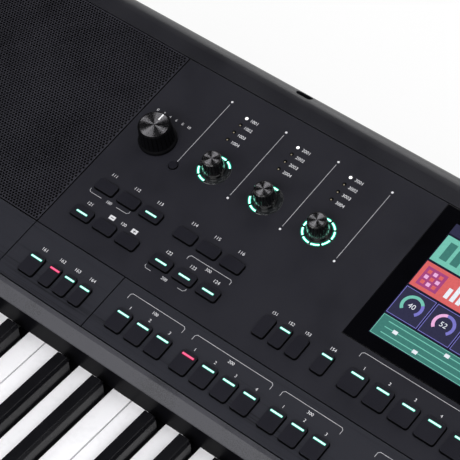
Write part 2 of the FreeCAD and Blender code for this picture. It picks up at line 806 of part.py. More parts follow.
round_x = panel_left + round_u
round_cap = on_panel(post(round_radius, round_x, round_v, -cap_below, cap_rise / 2))
for name, places in (("tempo", tempo), ("record", record), ("chord", chord),
                     ("intro_ending", intro + ending), ("main", variations), ("transport", transport),
                     ("memory", memory), ("voice", voice), ("pad", pads + shifts)):
    save(name + "_buttons", *[cap(*place) for place in places])
save("setup_buttons", *([cap(*place) for place in setup] + [round_cap]))

# Control panel: a plate with windows for the caps, holes for the knobs and a rebate for the glass
volume_x = panel_left + volume_u
dial_x = -panel_left - dial_u
encoder_xs = [panel_left + encoder_u + encoder_pitch * i for i in range(3)]
bush_radius = stem_radius + running_fit + bush_wall
plate_half = panel_width / 2 - groove / 2
glass_half = glass_width / 2
plate = box(-plate_half, plate_half, groove / 2, panel_depth, -panel_thickness, 0)
openings = [cap_window(*place) for place in panel_caps]
openings.append(post(round_radius + cap_gap, round_x, round_v, -2 * panel_thickness, panel_thickness))
openings += [post(bush_radius + fit, x, v, -2 * panel_thickness, panel_thickness)
             for x, v in ((volume_x, volume_v), (dial_x, dial_v))]
openings += [post(ring_radius + running_fit, x, encoder_v, -2 * panel_thickness, panel_thickness)
             for x in encoder_xs]
openings.append(box(-glass_half - groove / 2, glass_half + groove / 2, glass_front_v - groove / 2,
                    panel_depth + groove, -glass_thickness, panel_thickness))
openings.append(box(glass_ledge - glass_half, glass_half - glass_ledge, glass_front_v + glass_ledge,
                    panel_depth - beam_width, -2 * panel_thickness, panel_thickness))
boss_places = [(s * (plate_half - 2 * board_margin), panel_depth * 0.42) for s in (-1, 1)]
boss_x = (second_columns[-1] + bank_xs[-1]) / 2
boss_places += [(s * boss_x, (grid_upper_v + grid_lower_v) / 2) for s in (-1, 1)]
bosses = [post(boss_radius, x, v, -board_drop, -panel_thickness) for x, v in boss_places]
save("control_panel", on_panel(plate.fuse(bosses).cut(openings)))

# Strip inlays: five plates between the fold and the lip
strip_edges = [-inner_x, panel_left, panel_left + strip_section,
               -panel_left - strip_section, -panel_left, inner_x]
strip_windows = [cap_window(*place) for place in strip_caps]
strip_boss_v = strip_v + tall_cap_depth / 2 + 3 * boss_radius
strip_bosses = [(s * panel_width / 2 * share, strip_boss_v) for s in (-1, 1) for share in (0.2, 0.65)]
inlays = []
for left, right in zip(strip_edges, strip_edges[1:]):
    inlay = box(left + groove / 2, right - groove / 2, -strip_depth, -groove / 2, -panel_thickness, 0)
    carried = [post(boss_radius, x, v, -board_drop, -panel_thickness)
               for x, v in strip_bosses if left < x < right]
    if carried:
        inlay = inlay.fuse(carried)
    inlays.append(on_panel(inlay.cut(strip_windows)))
save("strip_inlays", *inlays)

# Switch boards: one behind the panel round the screen, one behind the strip, with a switch for each cap
board_x = panel_width / 2 - board_margin
screen_x = glass_half + board_screen_gap
board_low = beam_width + fit
board_high = panel_depth - beam_width - board_margin
screen_low = glass_front_v - board_margin / 2


def with_switches(board, places):
    half = switch_size / 2
    switches = [box(x - half, x + half, v - half, v + half, -board_drop, switch_top)
                for x, v, *_ in places]
    return board.fuse(switches)


panel_board = slab([(-board_x, board_low), (board_x, board_low), (board_x, board_high),
                    (screen_x, board_high), (screen_x, screen_low), (-screen_x, screen_low),
                    (-screen_x, board_high), (-board_x, board_high)],
                   -board_drop - board_thickness, -board_drop)
strip_board = box(-board_x, board_x, lip_ledge - strip_depth + fit, -beam_width - fit,
                  -board_drop - board_thickness, -board_drop)
save("switch_boards", on_panel(with_switches(panel_board, panel_caps + [(round_x, round_v)])),
     on_panel(with_switches(strip_board, strip_caps)))

# Screen: cover glass in the panel's rebate with the display module bonded under it
save("screen_glass", on_panel(box(-glass_half, glass_half, glass_front_v, panel_depth,
                                  -glass_thickness, 0)))
lcd_half = glass_half - glass_ledge - lcd_clear
save("lcd_module", on_panel(box(-lcd_half, lcd_half, glass_front_v + glass_ledge + lcd_clear,
                                panel_depth - beam_width - lcd_clear, -glass_thickness - lcd_thickness,
                                -glass_thickness)))

# Light rings: clear discs let into the panel round the encoders
ring_outline = [(bush_radius + fit, -panel_thickness), (ring_radius, -panel_thickness), (ring_radius, 0),
                (ring_radius - ring_proud, ring_proud), (bush_radius + fit, ring_proud)]
save("encoder_light_rings", *[on_panel(turned(ring_outline, x, encoder_v)) for x in encoder_xs])


# Knobs: a tapered body with a skirt and notches that lean with the grip, on its own shaft
def knob(x, v, radius, top, skirt, height, flutes, flute):
    shoulder = knob_lift + skirt_height
    outline = [(0, knob_lift), (skirt, knob_lift), (skirt, shoulder), (radius, shoulder + knob_edge),
               (top, height - knob_edge), (top - knob_edge, height), (0, height)]
    body = turned(outline, x, v)
    low = shoulder + knob_edge
    corners = [FreeCAD.Vector(x + reach, v + side, low)
               for reach, side in ((radius - flute, 0), (radius + flute, -flute), (radius + flute, flute))]
    lean = FreeCAD.Vector(top - radius, 0, height - low)
    notch = Part.Face(Part.makePolygon(corners + corners[:1])).extrude(lean)
    grooves = [notch.rotated(FreeCAD.Vector(x, v, 0), FreeCAD.Vector(0, 0, 1), 360 * i / flutes)
               for i in range(flutes)]
    stem_low = -board_drop + 3 * running_fit + bush_wall
    return on_panel(body.cut(grooves).fuse(post(stem_radius, x, v, stem_low, knob_lift)))


def inlaid(body, x, v, top, height):
    """A knob with a shallow round recess in its top for a metal disc."""
    recess = post(top - knob_edge - inlay_rim, x, v, height - inlay_depth, height + knob_edge)
    return body.cut(on_panel(recess))


volume = knob(volume_x, volume_v, volume_radius, volume_top, volume_skirt, volume_height,
              volume_flutes, flute_depth)
save("volume_knob", inlaid(volume, volume_x, volume_v, volume_top, volume_height))
for i, x in enumerate(encoder_xs):
    encoder = knob(x, encoder_v, encoder_radius, encoder_top, encoder_skirt, encoder_height,
                   encoder_flutes, flute_depth)
    save(f"encoder_knob_{i + 1}", inlaid(encoder, x, encoder_v, encoder_top, encoder_height))
dial = knob(dial_x, dial_v, dial_radius, dial_top, dial_skirt, dial_height, dial_flutes, 2 * flute_depth)
dimple_x = dial_x + dial_radius / 2
dimple = turned([(0, dial_height - dimple_depth), (dial_radius / 5, dial_height - dimple_depth / 2),
                 (dial_radius / 4, dial_height + dimple_depth), (0, dial_height + dimple_depth)],
                dimple_x, dial_v)
save("data_dial", dial.cut(on_panel(dimple)))

# Rotary controls: a round body on the switch board with a bush up through the panel
bush_top = knob_lift - fit
control_outline = [(0, -board_drop), (control_radius, -board_drop),
                   (control_radius, -board_drop + control_rise),
                   (bush_radius, -board_drop + control_rise), (bush_radius, bush_top),
                   (stem_radius + running_fit, bush_top),
                   (stem_radius + running_fit, -board_drop + bush_wall),
                   (0, -board_drop + bush_wall)]
control_places = [(volume_x, volume_v), (dial_x, dial_v)] + [(x, encoder_v) for x in encoder_xs]
save("rotary_controls", *[on_panel(turned(control_outline, x, v)) for x, v in control_places])

# Loudspeaker grilles: pressed sheets with a turned-down edge
grilles = []
for side in (-1, 1):
    low_x, high_x = sorted((side * (panel_width / 2 + groove / 2), side * (inner_x - groove / 2)))
    pressed = box(low_x, high_x, groove / 2, panel_depth, -panel_thickness, 0)
    inside = box(low_x + grille_sheet, high_x - grille_sheet, groove / 2 + grille_sheet,
                 panel_depth - grille_sheet, -panel_thickness, -grille_sheet)
    grilles.append(on_panel(pressed.cut(inside)))
save("speaker_grilles", *grilles)

# Loudspeakers: a basket with flange and magnet under each baffle, and a cone with its dust cap
flange_low = beam_under - baffle
neck_low = beam_under - speaker_depth + magnet_depth
basket_outline = [(speaker_flange, beam_under), (speaker_flange, flange_low), (speaker_radius, flange_low),
                  (magnet_radius, neck_low), (magnet_radius, neck_low - magnet_depth),
                  (0, neck_low - magnet_depth), (0, neck_low + baffle),
                  (magnet_radius - baffle, neck_low + baffle),
                  (speaker_radius - baffle, flange_low), (speaker_radius - baffle, beam_under)]
cap_radius = magnet_radius / 2
cone_outline = [(speaker_radius - baffle - fit, beam_under), (cap_radius, neck_low + 3 * baffle),
                (0, neck_low + 4 * baffle), (0, neck_low + 3 * baffle), (cap_radius, neck_low + 2 * baffle),
                (speaker_radius - baffle - fit, beam_under - sheet)]
for name, outline in (("speaker_baskets", basket_outline), ("speaker_cones", cone_outline)):
    save(name, *[on_panel(turned(outline, side * speaker_x, speaker_v)) for side in (-1, 1)])
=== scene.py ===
import bmesh
import bpy
import json
import math
from mathutils import Matrix, Vector


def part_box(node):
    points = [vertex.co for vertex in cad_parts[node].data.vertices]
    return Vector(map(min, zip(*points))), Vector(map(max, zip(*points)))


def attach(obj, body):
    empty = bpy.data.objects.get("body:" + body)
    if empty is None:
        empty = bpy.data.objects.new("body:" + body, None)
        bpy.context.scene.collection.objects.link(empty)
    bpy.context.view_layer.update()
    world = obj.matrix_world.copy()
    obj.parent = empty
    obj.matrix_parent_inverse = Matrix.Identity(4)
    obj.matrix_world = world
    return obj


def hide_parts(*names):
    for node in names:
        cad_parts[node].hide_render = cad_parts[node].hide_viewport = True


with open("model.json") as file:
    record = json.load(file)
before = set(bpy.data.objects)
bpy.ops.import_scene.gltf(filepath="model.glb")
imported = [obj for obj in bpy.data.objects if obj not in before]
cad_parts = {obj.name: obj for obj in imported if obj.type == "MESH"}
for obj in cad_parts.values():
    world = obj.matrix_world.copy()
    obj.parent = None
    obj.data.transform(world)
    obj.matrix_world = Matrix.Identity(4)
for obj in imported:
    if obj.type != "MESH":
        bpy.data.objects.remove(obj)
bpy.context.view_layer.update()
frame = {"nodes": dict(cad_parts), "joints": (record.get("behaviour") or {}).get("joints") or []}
nodes = frame["nodes"]

# Lower case: the tray that carries everything, injection-moulded in dark grey ABS. Its mould was
# spark-eroded, which leaves a fine even grain, and its edges are painted lighter, partly as wear from
# handling and partly as a painted highlight.


def start_finish(name):
    finish = bpy.data.materials.new(name)
    finish.use_nodes = True
    return finish, finish.node_tree, finish.node_tree.nodes["Principled BSDF"]


def feed(tree, node, values):
    """Links a node's inputs to what comes from other nodes, and sets plain numbers and colours on them."""
    for key, value in values.items():
        if isinstance(value, bpy.types.NodeSocket):
            tree.links.new(value, node.inputs[key])
        else:
            node.inputs[key].default_value = value


def add(tree, kind, values=None, **settings):
    node = tree.nodes.new("ShaderNode" + kind)
    for key, value in settings.items():
        setattr(node, key, value)
    feed(tree, node, values or {})
    return node


def on_piece(tree):
    return add(tree, "TexCoord").outputs["Object"]


def noise(tree, place, scale, detail):
    return add(tree, "TexNoise", {"Vector": place, "Scale": scale, "Detail": detail}).outputs["Fac"]


def reckon(tree, operation, *values):
    return add(tree, "Math", dict(enumerate(values)), operation=operation).outputs[0]


def dot_product(tree, first, second):
    return add(tree, "VectorMath", {0: first, 1: second}, operation="DOT_PRODUCT").outputs["Value"]


def ranged(tree, value, start, end, low=0.0, high=1.0):
    """A number that goes from low to high as the value goes from start to end."""
    return add(tree, "MapRange", {"Value": value, "From Min": start, "From Max": end,
                                  "To Min": low, "To Max": high}).outputs["Result"]


def shade(colour, share):
    return tuple(min(c * share, 1.0) for c in colour) + (1.0,)


def tinted(tree, factor, low, high, low_at=0.3, high_at=0.7):
    """A colour that goes from low to high as the factor passes from one place to the other."""
    ramp = add(tree, "ValToRGB", {"Fac": factor})
    ramp.color_ramp.elements[0].position = low_at
    ramp.color_ramp.elements[0].color = low
    ramp.color_ramp.elements[1].position = high_at
    ramp.color_ramp.elements[1].color = high
    return ramp.outputs["Color"]


def mixed(tree, factor, first, second):
    return add(tree, "Mix", {0: factor, 6: first, 7: second}, data_type="RGBA").outputs[2]


def moulded(name, colour, rough=0.5, spread=0.14, grain=2600, grain_depth=0.00003, edge=0.0004,
            edge_wear_and_highlight=1.5, stretch=(1, 1, 1), specular=0.5, coat=0.0):
    """Moulded plastic: cloudy colour, pitted grain, uneven gloss and softened edges painted lighter, partly
    as wear and partly as a painted highlight.
    """
    finish, tree, shader = start_finish(name)
    place = add(tree, "Mapping", {"Vector": on_piece(tree), "Scale": stretch}).outputs["Vector"]
    cloud = noise(tree, place, scale=35.0, detail=4.0)
    pits = noise(tree, place, scale=grain, detail=2.0)
    both = reckon(tree, "ADD", cloud, pits)
    body = tinted(tree, both, shade(colour, 1 - spread), shade(colour, 1 + spread), 0.8, 1.2)
    soft = add(tree, "Bevel", {"Radius": edge}, samples=4).outputs["Normal"]
    flat = add(tree, "NewGeometry").outputs["Normal"]
    # Edges are painted lighter than the body: partly wear, partly a painted highlight.
    rounded = ranged(tree, dot_product(tree, soft, flat), 1.0, 0.9)
    bump = add(tree, "Bump", {"Height": pits, "Normal": soft, "Distance": grain_depth, "Strength": 0.6})
    feed(tree, shader, {"Base Color": mixed(tree, rounded, body, shade(colour, edge_wear_and_highlight)),
                        "Roughness": ranged(tree, cloud, 0.3, 0.7, rough - 0.05, rough + 0.05),
                        "Normal": bump.outputs["Normal"], "Specular IOR Level": specular,
                        "Coat Weight": coat, "Coat Roughness": 0.08})
    return finish


def dress(finish, *names):
    for name in names:
        for slot in nodes[name].material_slots:
            slot.material = finish


case_grey = (0.030, 0.030, 0.034)
dress(moulded("case_plastic", case_grey, rough=0.55), "bottom_case")

# Rubber feet: six soft discs under the floor of the tray, moulded in black rubber, which is matte with
# a dusty bloom.
dress(moulded("foot_rubber", (0.022, 0.022, 0.022), rough=0.8, grain=1500, edge_wear_and_highlight=2.0), "rubber_feet")

# Case screws: blackened pan-head screws with a cross recess, driven up into the tray from below in
# two rows between the feet. The recess and its cross are painted near black as painted shade.
MM = 0.001


class Shape:
    """Points, faces and finish marks of one piece, gathered part by part."""

    def __init__(self):
        self.points = []
        self.faces = []
        self.marks = []

    def put(self, points, faces, mark=0):
        start = len(self.points)
        self.points += [Vector(p) for p in points]
        self.faces += [[start + i for i in face] for face in faces]
        self.marks += [mark] * len(faces)


def piece(name, shape, finishes, body):
    """One mesh in its finishes, which rides on a body."""
    mesh = bpy.data.meshes.new(name)
    mesh.from_pydata([tuple(p) for p in shape.points], [], shape.faces)
    for finish in finishes:
        mesh.materials.append(finish)
    mesh.polygons.foreach_set("material_index", shape.marks)
    mesh.update()
    thing = bpy.data.objects.new(name, mesh)
    bpy.context.scene.collection.objects.link(thing)
    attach(thing, body)
    return thing


def rings_to_shape(shape, rings, mark=0, closed_top=True, closed_bottom=True, top_mark=None):
    """Joins rings of equal length into one skin, with flat ends."""
    count = len(rings[0])
    points = [p for ring in rings for p in ring]
    faces = []
    for level in range(len(rings) - 1):
        low, high = level * count, (level + 1) * count
        for i in range(count):
            j = (i + 1) % count
            faces.append((low + i, low + j, high + j, high + i))
    if closed_bottom:
        faces.append(tuple(range(count - 1, -1, -1)))
    shape.put(points, faces, mark)
    if closed_top:
        shape.put(rings[-1], [tuple(range(count))], mark if top_mark is None else top_mark)


def circle(radius, z, count=20):
    turns = [2 * math.pi * i / count for i in range(count)]
    return [Vector((radius * math.cos(turn), radius * math.sin(turn), z)) for turn in turns]


square = ((-1, -1), (1, -1), (1, 1), (-1, 1))
head_rings = ((3.2, 0), (3.2, 0.6), (2.5, 1.1), (1.5, 1.25))
recess_rings = ((1.5, 1.25), (1.1, 0.5))
recess_shade_mark = 1
cross_length = 3.4
cross_width = 0.56
cross_height = 1.27


def screw(shape, x, y, z):
    """A pan head that faces down, with a cross cut into it."""
    head = Shape()
    rings_to_shape(head, [circle(*ring) for ring in head_rings], closed_top=False)
    rings_to_shape(head, [circle(*ring) for ring in recess_rings], recess_shade_mark, closed_bottom=False)
    for turn in (0, 90):
        spin = Matrix.Rotation(math.radians(turn), 4, "Z")
        blade = [(a * cross_length / 2, b * cross_width / 2, cross_height) for a, b in square]
        head.put([spin @ Vector(p) for p in blade], [(0, 1, 2, 3)], recess_shade_mark)
    downward = Matrix.Translation((x, y, z)) @ Matrix.Diagonal((MM, MM, -MM, 1))
    shape.put([downward @ p for p in head.points], [face[::-1] for face in head.faces])
    shape.marks[-len(head.faces):] = head.marks


def metal(name, colour, rough=0.35, grain=900, stretch=(1, 1, 1)):
    """Bare or plated metal: cloudy colour and fine marks that vary its gloss."""
    finish, tree, shader = start_finish(name)
    place = add(tree, "Mapping", {"Vector": on_piece(tree), "Scale": stretch}).outputs["Vector"]
    cloud = noise(tree, place, scale=60.0, detail=5.0)
    lines = noise(tree, place, scale=grain, detail=3.0)
    soft = add(tree, "Bevel", {"Radius": 0.0002}, samples=4).outputs["Normal"]
    bump = add(tree, "Bump", {"Height": lines, "Normal": soft, "Distance": 0.00002, "Strength": 0.4})
    feed(tree, shader, {"Base Color": tinted(tree, cloud, shade(colour, 0.85), shade(colour, 1.12)),
                        "Roughness": ranged(tree, lines, 0.0, 1.0, rough - 0.1, rough + 0.1),
                        "Normal": bump.outputs["Normal"], "Metallic": 1.0})
    return finish


black_screw = metal("screw_black", (0.05, 0.05, 0.055), rough=0.4)
# Painted shade: the cross recess is a near-black matt colour, not the screw's metal.
recess_shade = moulded("recess_shade", (0.006, 0.006, 0.006), rough=0.7)
tray_low, tray_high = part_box("bottom_case")
screw_columns = 7
screw_margin = 0.12
screw_spans = 6.5
screw_pitch = (tray_high.x - tray_low.x - screw_margin) / screw_spans
screw_row_y = 0.105
screws = Shape()
for column in range(screw_columns):
    for row in (-1, 1):
        screw(screws, (column - screw_columns // 2) * screw_pitch, row * screw_row_y, tray_low.z)
piece("case_screws", screws, [black_screw, recess_shade], "body")

# Key bed: a zinc-plated steel sheet folded on a press brake, with the pivot rod through its lugs, a strip
# of red wool felt that stops the keys, and a circuit board with the rubber contact strip. The bracket of
# the wheels is of the same sheet, and the other boards have the same lacquer.
dress(metal("zinc_sheet", (0.62, 0.63, 0.66), rough=0.4, grain=500), "key_chassis", "wheel_bracket")
dress(metal("drawn_rod", (0.55, 0.56, 0.58), rough=0.25, stretch=(0.02, 1, 1)), "key_pivot_rod")
dress(moulded("stop_felt", (0.26, 0.03, 0.035), rough=0.95, spread=0.4, grain=1800, grain_depth=0.0004,
              edge_wear_and_highlight=1.2, specular=0.1), "key_stop_felt")
dress(moulded("contact_rubber_grey", (0.09, 0.09, 0.095), rough=0.7), "contact_rubber")


def circuit_board(name):
    """Green lacquer over copper traces that run in straight lines on a fine grid."""
    finish, tree, shader = start_finish(name)
    cells = add(tree, "TexBrick", {"Vector": on_piece(tree), "Scale": 90.0, "Mortar Size": 0.02,
                                   "Brick Width": 0.8, "Row Height": 0.14,
                                   "Color1": (0.010, 0.085, 0.035, 1), "Color2": (0.014, 0.105, 0.045, 1),
                                   "Mortar": (0.03, 0.17, 0.07, 1)})
    bump = add(tree, "Bump", {"Height": cells.outputs["Fac"], "Distance": 0.00004, "Strength": 0.5})
    feed(tree, shader, {"Base Color": cells.outputs["Color"], "Normal": bump.outputs["Normal"],
                        "Roughness": 0.3, "Coat Weight": 0.4})
    return finish


dress(circuit_board("board_lacquer"), "contact_board", "main_board", "switch_boards")

# Keys: white ones cast in polished acrylic with a faint flow in the colour, black ones in a satin
# black with sloping flanks. Each has a knuckle that turns on the pivot rod.
white_notes = ("c_keys", "d_keys", "e_keys", "f_keys", "g_keys", "a_keys", "b_keys")
black_notes = ("c_sharp_keys", "d_sharp_keys", "f_sharp_keys", "g_sharp_keys", "a_sharp_keys")
dress(moulded("key_white", (0.83, 0.825, 0.85), rough=0.22, spread=0.02, grain=300, grain_depth=0.00001,
              edge=0.0007, edge_wear_and_highlight=1.02), *white_notes)
dress(moulded("key_black", (0.004, 0.004, 0.005), rough=0.26, spread=0.2, grain=2200, grain_depth=0.00001,
              edge=0.0008, edge_wear_and_highlight=1.6, specular=0.17), *black_notes)

# End blocks and front rail: the cheeks beside the keys and the slip in front of them, moulded in a
# grained charcoal a little darker than the panel frame's.
frame_grey = (0.022, 0.022, 0.025)
frame_plastic = moulded("frame_plastic", frame_grey, rough=0.45, spread=0.3, grain=2400, grain_depth=0.00006,
                        edge=0.0008, edge_wear_and_highlight=1.3)
dress(frame_plastic, "left_end_block", "right_end_block", "front_rail")

# Pitch and modulation wheels: turned from black acetal with a rubbed, slightly glossy rim, whose edges are
# painted lighter as wear and as a painted highlight. Both turn in one folded bracket.
dress(moulded("wheel_acetal", (0.018, 0.018, 0.020), rough=0.42, edge=0.0006, edge_wear_and_highlight=2.2),
      "pitch_wheel", "mod_wheel")

# Panel frame: one long moulding that forms the lip over the keys, the beams under the panel and the
# baffles of the loudspeakers. Its front bevel has a coarser, sandy texture, and what lies deeper under the
# panel and the grilles is painted black and matt as painted shade.
slide = next(j for j in frame["joints"] if j["name"] == "setup_buttons_press")
slope_rise = slide["axis"][1]
slope_run = -slide["axis"][2]
panel_out = (0, -slope_rise, slope_run)
glass_low, glass_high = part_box("screen_glass")
glass_from = 44.0
glass_depth = 110.0
panel_depth = glass_from + glass_depth
fold_y = glass_low.y / MM - glass_from * slope_run
fold_z = glass_high.z / MM - panel_depth * slope_rise


def on_panel(x, v, h):
    """A point in metres from X, the way up the panel's slope and the height above it in millimetres."""
    return Vector((x, fold_y + v * slope_run - h * slope_rise, fold_z + v * slope_rise + h * slope_run)) * MM


def paint_shade_below_panel(finish, front_y, depth):
    """Paints black and matt, as painted shade, what lies deeper than this under the panel's plane, behind
    the lip.
    """
    tree = finish.node_tree
    shader = tree.nodes["Principled BSDF"]
    outside = shader.inputs["Base Color"].links[0].from_socket
    gloss = shader.inputs["Roughness"].links[0].from_socket
    place = on_piece(tree)
    plane = (fold_z * slope_run - fold_y * slope_rise) * MM
    deep = ranged(tree, dot_product(tree, place, panel_out), plane - 0.5 * depth, plane - depth)
    y = add(tree, "SeparateXYZ", {"Vector": place}).outputs["Y"]
    both = reckon(tree, "MULTIPLY", deep, reckon(tree, "GREATER_THAN", y, front_y))
    feed(tree, shader, {"Base Color": mixed(tree, both, outside, (0.002, 0.002, 0.002, 1)),
                        "Roughness": reckon(tree, "MAXIMUM", gloss, both)})


strip_depth = 41.8
shade_depth = 0.001
lip_plastic = moulded("lip_plastic", (0.0300, 0.0300, 0.0358), rough=0.45, spread=0.3, grain=1600,
                      grain_depth=0.00008, edge=0.0008, edge_wear_and_highlight=1.3, specular=0.27)
# Painted shade: the frame turns black more than a millimetre under the panel's plane.
paint_shade_below_panel(lip_plastic, on_panel(0, -strip_depth, 0).y, shade_depth)
dress(lip_plastic, "panel_frame")

# Key fascia: a satin black strip of moulded plastic that closes the gap between the lip and the keys.
# It mirrors the keys softly.
dress(moulded("fascia_satin", (0.0025, 0.0025, 0.0032), rough=0.34, spread=0.1, grain=900,
              grain_depth=0.00001, specular=0.022), "key_fascia")

# Rear cover: the rim behind the panel rolls down into the rear wall, moulded in one piece with the
# two slots for the music rest.
dress(moulded("rear_plastic", (0.010, 0.010, 0.013), rough=0.36, spread=0.16, grain=3000, edge=0.0004,
              edge_wear_and_highlight=1.0, specular=0.3), "rear_cover")

# Rear sockets: two black plates in the rear wall carry five phone jacks, two data ports with nickel
# shells, the adaptor inlet and the power button. Plain numbers mark them. The bodies of the rotary
# controls are of the jacks' nylon, and the display's frame is plated like the shells.
dress(moulded("plate_plastic", (0.024, 0.024, 0.027), rough=0.5), "jack_panel", "port_panel")
dress(moulded("jack_nylon", (0.016, 0.016, 0.017), rough=0.35, edge=0.0003, edge_wear_and_highlight=2.4),
      "line_jacks", "dc_inlet", "rotary_controls")
dress(metal("nickel_shell", (0.70, 0.68, 0.64), rough=0.3), "usb_ports", "lcd_module")
dress(moulded("power_cap", (0.028, 0.028, 0.030), rough=0.4, edge=0.0005, edge_wear_and_highlight=2.0), "power_button")

glyphs = {}


def numeral(text):
    """Flat mesh of a plain number one unit high, centred on its own middle."""
    if text not in glyphs:
        curve = bpy.data.curves.new("numeral", "FONT")
        curve.body = text
        curve.align_x = "CENTER"
        curve.align_y = "CENTER"
        curve.resolution_u = 3
        writing = bpy.data.objects.new("numeral", curve)
        mesh = bpy.data.meshes.new_from_object(writing)
        glyphs[text] = ([v.co.copy() for v in mesh.vertices], [list(f.vertices) for f in mesh.polygons])
        bpy.data.objects.remove(writing)
        bpy.data.curves.remove(curve)
        bpy.data.meshes.remove(mesh)
    return glyphs[text]


def ink(name, colour):
    """Screen-printed ink: a thin dry layer with a slightly uneven cover."""
    finish, tree, shader = start_finish(name)
    cover = noise(tree, on_piece(tree), scale=3000.0, detail=2.0)
    feed(tree, shader, {"Base Color": tinted(tree, cover, shade(colour, 0.82), shade(colour, 1.05)),
                        "Roughness": 0.6})
    return finish


label_ink = ink("label_ink", (0.60, 0.60, 0.625))
rear_marks = Shape()
jack_low, jack_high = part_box("line_jacks")
jack_width = 0.016
jack_gaps = 4
jack_pitch = (jack_high.x - jack_low.x - jack_width) / jack_gaps
mark_count = 9
mark_height = 0.0030
mark_lift = 0.00003
mark_rise = 0.0125
mark_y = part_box("jack_panel")[1].y + mark_lift
mark_z = (jack_low.z + jack_high.z) / 2 + mark_rise
for i in range(mark_count):
    points, faces = numeral(str(i + 1))
    middle = jack_low.x + jack_width / 2 + i * jack_pitch
    rear_marks.put([(middle - p.x * mark_height, mark_y, mark_z + p.y * mark_height) for p in points], faces)
piece("rear_numbers", rear_marks, [label_ink], "body")

# Loudspeakers: a black pressed-steel basket and a black paper cone on each side, behind a grille of
# steel sheet with staggered round holes, its edges turned down, stove-enamelled in satin black.
dress(metal("basket_black", (0.05, 0.05, 0.055), rough=0.5, grain=700), "speaker_baskets")
dress(moulded("cone_paper", (0.008, 0.008, 0.009), rough=0.9, spread=0.3, grain=1200, grain_depth=0.0002,
              specular=0.2), "speaker_cones")

hole_pitch = 2.2
row_pitch = hole_pitch * math.sqrt(0.75)
hole_top = 0.90
hole_bottom = 0.80
plain_rim = 0.4
sheet_depth = 0.7
edge_turn = 2.9


def grille(name, x0, x1, v0, v1):
    """A sheet with staggered holes between two lines of X and two up the slope, its edges turned down."""
    sheet = Shape()
    index = {}
    columns = int((x1 - x0 - plain_rim) / hole_pitch)
    rows = int((v1 - v0 - plain_rim) / row_pitch)
    left = (x0 + x1 - columns * hole_pitch) / 2
    low = (v0 + v1 - rows * row_pitch) / 2

    def at(x, v, h=0.0):
        key = (round(x, 3), round(v, 3), round(h, 3))
        if key not in index:
            index[key] = len(sheet.points)
            sheet.points.append(on_panel(x, v, h))
        return index[key]

    def face(*corners):
        sheet.faces.append(corners)
        sheet.marks.append(0)

    def hole(cx, cv):
        half, tall = hole_pitch / 2, row_pitch / 2
        around = [(cx + half, cv + tall), (cx, cv + tall), (cx - half, cv + tall),
                  (cx - half, cv - tall), (cx, cv - tall), (cx + half, cv - tall)]
        turns = [math.radians(30 + 60 * i) for i in range(6)]
        for i in range(6):
            j = (i + 1) % 6
            a = [(cx + r * math.cos(turns[k]), cv + r * math.sin(turns[k]), h)
                 for r, h in ((hole_top, 0.0), (hole_bottom, -sheet_depth)) for k in (i, j)]
            face(at(*around[i]), at(*around[j]), at(*a[1]), at(*a[0]))
            face(at(*a[0]), at(*a[1]), at(*a[3]), at(*a[2]))

    for row in range(rows):
        v = low + (row + 0.5) * row_pitch
        shift = 0.5 * (row % 2)
        for column in range(columns - row % 2):
            hole(left + (column + 0.5 + shift) * hole_pitch, v)
        if row % 2:
            for start in (left, left + (columns - 0.5) * hole_pitch):
                face(at(start, v - row_pitch / 2), at(start + hole_pitch / 2, v - row_pitch / 2),
                     at(start + hole_pitch / 2, v + row_pitch / 2), at(start, v + row_pitch / 2))
    xs = [x0] + [left + i * hole_pitch / 2 for i in range(2 * columns + 1)] + [x1]
    vs = [v0] + [low + i * row_pitch for i in range(rows + 1)] + [v1]
    for a, b in zip(xs, xs[1:]):
        face(at(a, vs[0]), at(b, vs[0]), at(b, vs[1]), at(a, vs[1]))
        face(at(a, vs[-2]), at(b, vs[-2]), at(b, vs[-1]), at(a, vs[-1]))
        face(at(a, v0, -edge_turn), at(b, v0, -edge_turn), at(b, v0), at(a, v0))
        face(at(b, v1, -edge_turn), at(a, v1, -edge_turn), at(a, v1), at(b, v1))
    for a, b in zip(vs[1:-1], vs[2:-1]):
        face(at(xs[0], a), at(xs[1], a), at(xs[1], b), at(xs[0], b))
        face(at(xs[-2], a), at(xs[-1], a), at(xs[-1], b), at(xs[-2], b))
    for a, b in zip(vs, vs[1:]):
        face(at(x0, b, -edge_turn), at(x0, a, -edge_turn), at(x0, a), at(x0, b))
        face(at(x1, a, -edge_turn), at(x1, b, -edge_turn), at(x1, b), at(x1, a))
    return piece(name, sheet, [grille_enamel], "body")


def paint_shade_on_flanks(finish):
    """Paints shade on what doesn't face out of the panel, such as the flanks of caps and the punched edges
    of holes.
    """
    tree = finish.node_tree
    shader = tree.nodes["Principled BSDF"]
    top = shader.inputs["Base Color"].links[0].from_socket
    out = dot_product(tree, add(tree, "NewGeometry").outputs["Normal"], panel_out)
    # Painted shade: near black on every face turned away from the panel's outward direction.
    flank = mixed(tree, ranged(tree, out, 0.97, 0.7), top, (0.0010, 0.0010, 0.0013, 1))
    feed(tree, shader, {"Base Color": flank})


grille_enamel = moulded("grille_enamel", (0.0163, 0.0160, 0.0211), rough=0.36, spread=0.2, grain=1800,
                        edge=0.0001, edge_wear_and_highlight=1.5, specular=0.28)
# The hole walls and turned-down edges of the grilles are darkened with painted shade.
paint_shade_on_flanks(grille_enamel)
seam_half = 0.45
panel_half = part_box("control_panel")[1].x / MM + seam_half
grille_inner = panel_half + seam_half
grille_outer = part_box("speaker_grilles")[1].x / MM
left_grille = grille("left_grille", -grille_outer, -grille_inner, seam_half, panel_depth)
right_grille = grille("right_grille", grille_inner, grille_outer, seam_half, panel_depth)
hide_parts("speaker_grilles")
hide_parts("speaker_grilles")

